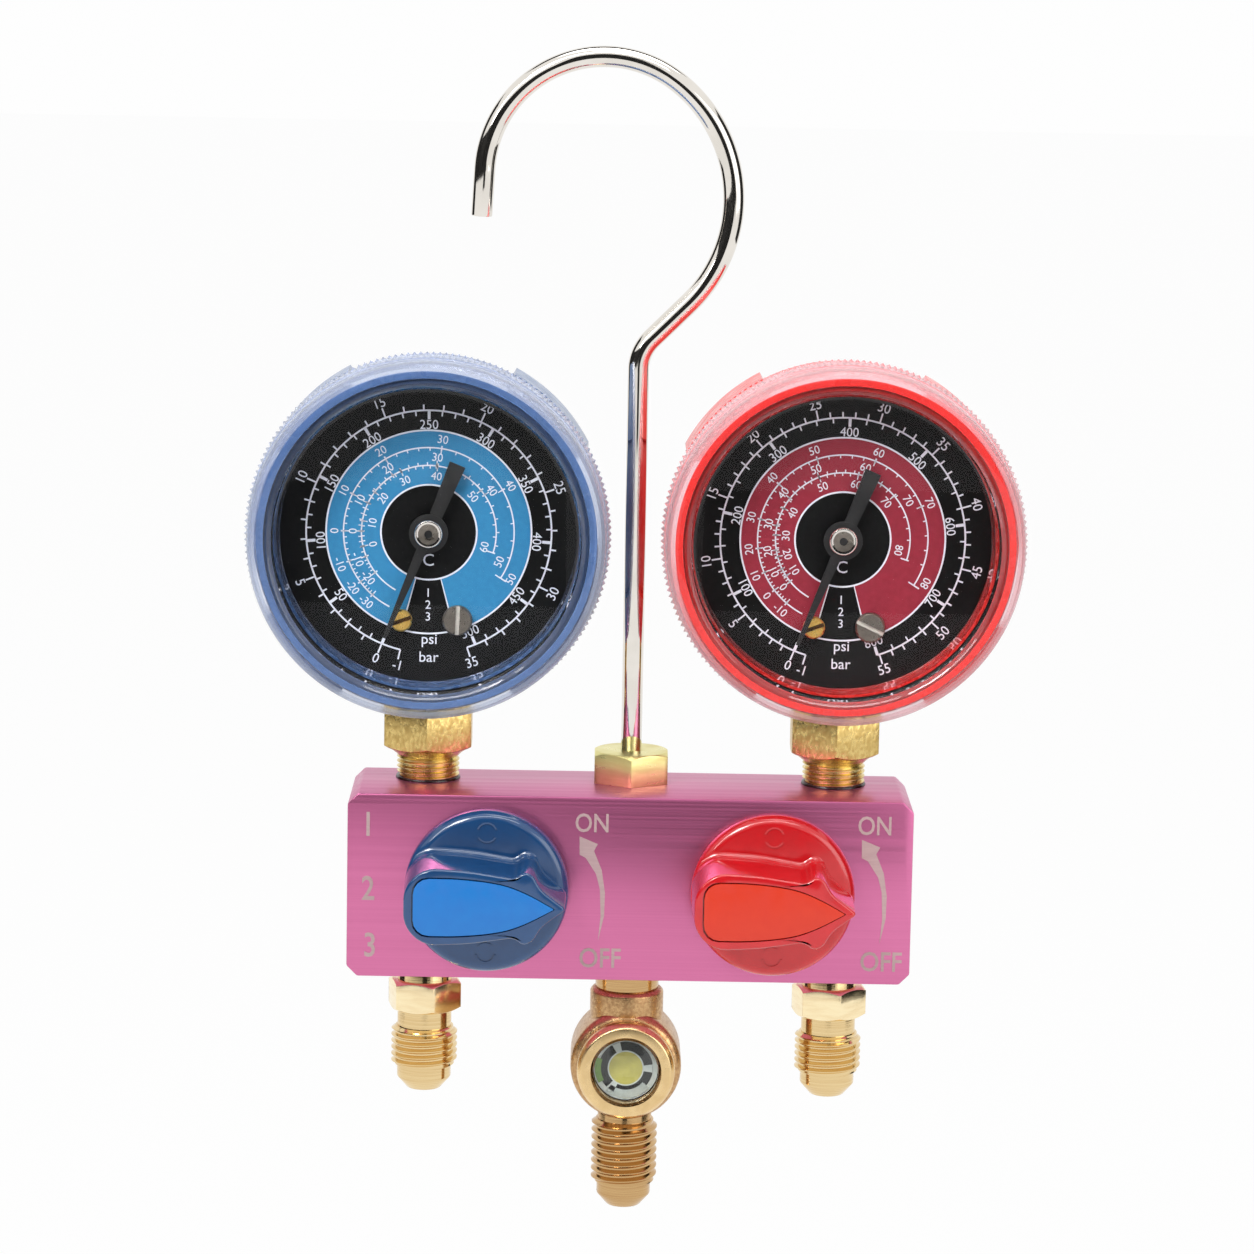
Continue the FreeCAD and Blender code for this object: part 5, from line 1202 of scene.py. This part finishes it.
class MANIFOLD_OT_knobs(bpy.types.Operator):
    """Make the hand knobs and their coloured inserts"""
    bl_idname = "manifold.knobs"
    bl_label = "Knobs"

    def execute(self, context):
        front = low_of("manifold_block").y
        for side in SIDES:
            place = centre_of(side + "_knob")
            place.y = front
            bm = self.make_disc()
            join(bm, self.make_grip())
            name = side.capitalize()
            finish(bm, side + "_hand_knob", [name + " Knob Plastic"],
                   [side + "_knob"], place, side + "_knob", KNOB_CREASE)
            insert = bmesh.new()
            polygon(insert, mirrored(INSERT_CORNERS, INSERT_NOSE))
            thicken(insert, INSERT_DEPTH)
            move(insert, (0, GRIP_FRONT - INSERT_PROUD, 0))
            soften(insert, 0.15)
            finish(insert, side + "_grip_insert", [name + " Insert Plastic"],
                   [side + "_knob_insert"], place, side + "_knob")
        return {"FINISHED"}

    def make_disc(self):
        bm = turned([(0, DISC_FRONT), (KNOB_R - 1.2, DISC_FRONT - 0.02), (KNOB_R, DISC_FRONT + 1.2),
                     (KNOB_R, KNOB_REAR), (KNOB_R - 2, KNOB_REAR), (KNOB_R - 2, DISC_FRONT + 2.4),
                     (0, DISC_FRONT + 2.4)], "Y", steps=128, round_edge=0.7, segments=4)
        rings = bmesh.new()
        for way, start, stop in KNOB_MARKS:
            arc = bmesh.new()
            band(arc, *KNOB_MARK_RADII, start, stop, DISC_FRONT - 0.2, 0)
            thicken(arc, 0.4)
            move(arc, (0, 0, way * KNOB_MARK_OFFSET))
            join(rings, arc)
        join(bm, rings)
        return bm

    def make_grip(self):
        """The grip across the disc, its sides flaring out where they meet it."""
        bm = bmesh.new()
        polygon(bm, mirrored(GRIP_CORNERS, GRIP_NOSE))
        move(bm, (0, GRIP_FRONT, 0))
        edges = list(bm.edges)
        depth = 0.0
        growth = 0.0
        for next_depth, next_growth in GRIP_FLARE:
            verts, edges = extend(bm, edges)
            move(bm, (0, next_depth - depth, 0), verts)
            wider = (GRIP_HALF_WIDTH + next_growth) / (GRIP_HALF_WIDTH + growth)
            longer = ((GRIP_HALF_LENGTH + min(next_growth, GRIP_END_GROWTH))
                      / (GRIP_HALF_LENGTH + min(growth, GRIP_END_GROWTH)))
            bmesh.ops.scale(bm, verts=verts, vec=(longer, 1.0, wider))
            depth = next_depth
            growth = next_growth
        bmesh.ops.edgeloop_fill(bm, edges=edges)
        weld(bm)
        face_outwards(bm)
        rim = [e for e in bm.edges if all(abs(v.co.y - GRIP_FRONT) < NEAR for v in e.verts)]
        bevel(bm, rim, sizes().knob_round / MM, 4)
        self.sink_pocket(bm)
        return bm

    def sink_pocket(self, bm):
        """Opens the front face round the insert and sinks a floor behind it."""
        front = [f for f in bm.faces if abs(f.calc_center_median().y - GRIP_FRONT) < NEAR]
        widest = max(front, key=lambda face: face.calc_area())
        bmesh.ops.delete(bm, geom=[widest], context="FACES_ONLY")
        known = set(bm.verts)
        polygon(bm, mirrored(INSERT_CORNERS, INSERT_NOSE, POCKET_SCALE))
        rim = [v for v in bm.verts if v not in known]
        move(bm, (0, GRIP_FRONT, 0), rim)
        lip = list({e for v in rim for e in v.link_edges})
        floor = list({f for e in lip for f in e.link_faces})
        made = bmesh.ops.extrude_face_region(bm, geom=floor)["geom"]
        move(bm, (0, POCKET_DEPTH, 0), verts_of(made))
        bmesh.ops.delete(bm, geom=[f for f in floor if f.is_valid], context="FACES_ONLY")
        bmesh.ops.bridge_loops(bm, edges=[e for e in bm.edges if e.is_boundary])
        face_outwards(bm)


class MANIFOLD_OT_small_parts(bpy.types.Operator):
    """Make the pointer hub caps, line the screws' slots with painted shade and painted highlights, and give
    the carried-over parts their finishes
    """
    bl_idname = "manifold.small_parts"
    bl_label = "Small Parts"

    def execute(self, context):
        for side in SIDES:
            hub = centre_of(side + "_pointer_hub")
            cap = turned(HUB, "Y", 64, 0.06)
            for face in cap.faces:
                reach = math.hypot(face.calc_center_median().x, face.calc_center_median().z)
                face.material_index = 2 if reach < HUB_PIN_R else 1 if reach > HUB_RIM_R else 0
            finish(cap, side + "_hub_cap", ["Dark Steel", "Bright Nickel", "Pointer Black"],
                   [side + "_pointer_hub"], (hub.x, 0, hub.z), side + "_pointer")
            paint(side + "_zero_screw", "Dark Steel")
            paint(side + "_dial_screw", "Screw Brass")
            # Painted highlight in the zero screws' slots, painted shade in the dial screws' slots
            self.line_slot(side + "_zero_screw", side + "_zero", ZERO_HEAD_R, ZERO_SLOTS[side],
                           "Painted Slot Highlight", "steel")
            self.line_slot(side + "_dial_screw", "manifold", DIAL_HEAD_R, DIAL_SLOT, "Painted Slot Shade", "brass")
            paint(side + "_pointer", "Pointer Black")
            for part, finish_name in INNER_FINISHES.items():
                paint(side + "_" + part, finish_name)
        paint("sight_glass_seal", "Seal Rubber")
        return {"FINISHED"}

    def line_slot(self, node, body, radius, turn, finish_name, slot_name):
        """Lines the floor of a screw's slot with a flat bar: painted shade in the brass dial screws, a
        painted highlight in the steel zero screws.
        """
        middle = centre_of(node)
        bm = cuboid((2 * radius - 0.2, 0.1, SCREW_SLOT - 0.02))
        rotate(bm, -turn, "Y")
        soften(bm, 0.02)
        front = low_of(node).y + SCREW_SLOT_DEPTH
        finish(bm, node + "_slot", [finish_name], (), (middle.x, front, middle.z), body)


def paint(node, finish_name):
    """Gives a carried-over CAD node its finish."""
    obj = frame["nodes"][node]
    for slot in obj.material_slots:
        slot.material = finish_material(finish_name)


class MANIFOLD_PT_panel(bpy.types.Panel):
    """Lists the makers of the pieces"""
    bl_idname = "MANIFOLD_PT_panel"
    bl_label = "Manifold Gauge"
    bl_space_type = "VIEW_3D"
    bl_region_type = "UI"
    bl_category = "Manifold"

    def draw(self, context):
        layout = self.layout
        for group in (context.scene.manifold_sizes, context.scene.manifold_colours):
            for name in group.__annotations__:
                layout.prop(group, name)
        for operator in OPERATORS:
            layout.operator(operator.bl_idname)


OPERATORS = (MANIFOLD_OT_stage, MANIFOLD_OT_block, MANIFOLD_OT_hook, MANIFOLD_OT_ports,
             MANIFOLD_OT_sight_glass, MANIFOLD_OT_gauges, MANIFOLD_OT_dials, MANIFOLD_OT_knobs,
             MANIFOLD_OT_small_parts)
CLASSES = (ManifoldSizes, ManifoldColours, *OPERATORS, MANIFOLD_PT_panel)


def register():
    for cls in CLASSES:
        bpy.utils.register_class(cls)
    bpy.types.Scene.manifold_sizes = bpy.props.PointerProperty(type=ManifoldSizes)
    bpy.types.Scene.manifold_colours = bpy.props.PointerProperty(type=ManifoldColours)


def unregister():
    del bpy.types.Scene.manifold_colours
    del bpy.types.Scene.manifold_sizes
    for cls in reversed(CLASSES):
        bpy.utils.unregister_class(cls)


def main():
    register()
    bpy.ops.manifold.stage()
    bpy.ops.manifold.block()
    bpy.ops.manifold.hook()
    bpy.ops.manifold.ports()
    bpy.ops.manifold.sight_glass()
    bpy.ops.manifold.gauges()
    bpy.ops.manifold.dials()
    bpy.ops.manifold.knobs()
    bpy.ops.manifold.small_parts()


if __name__ == "__main__":
    main()
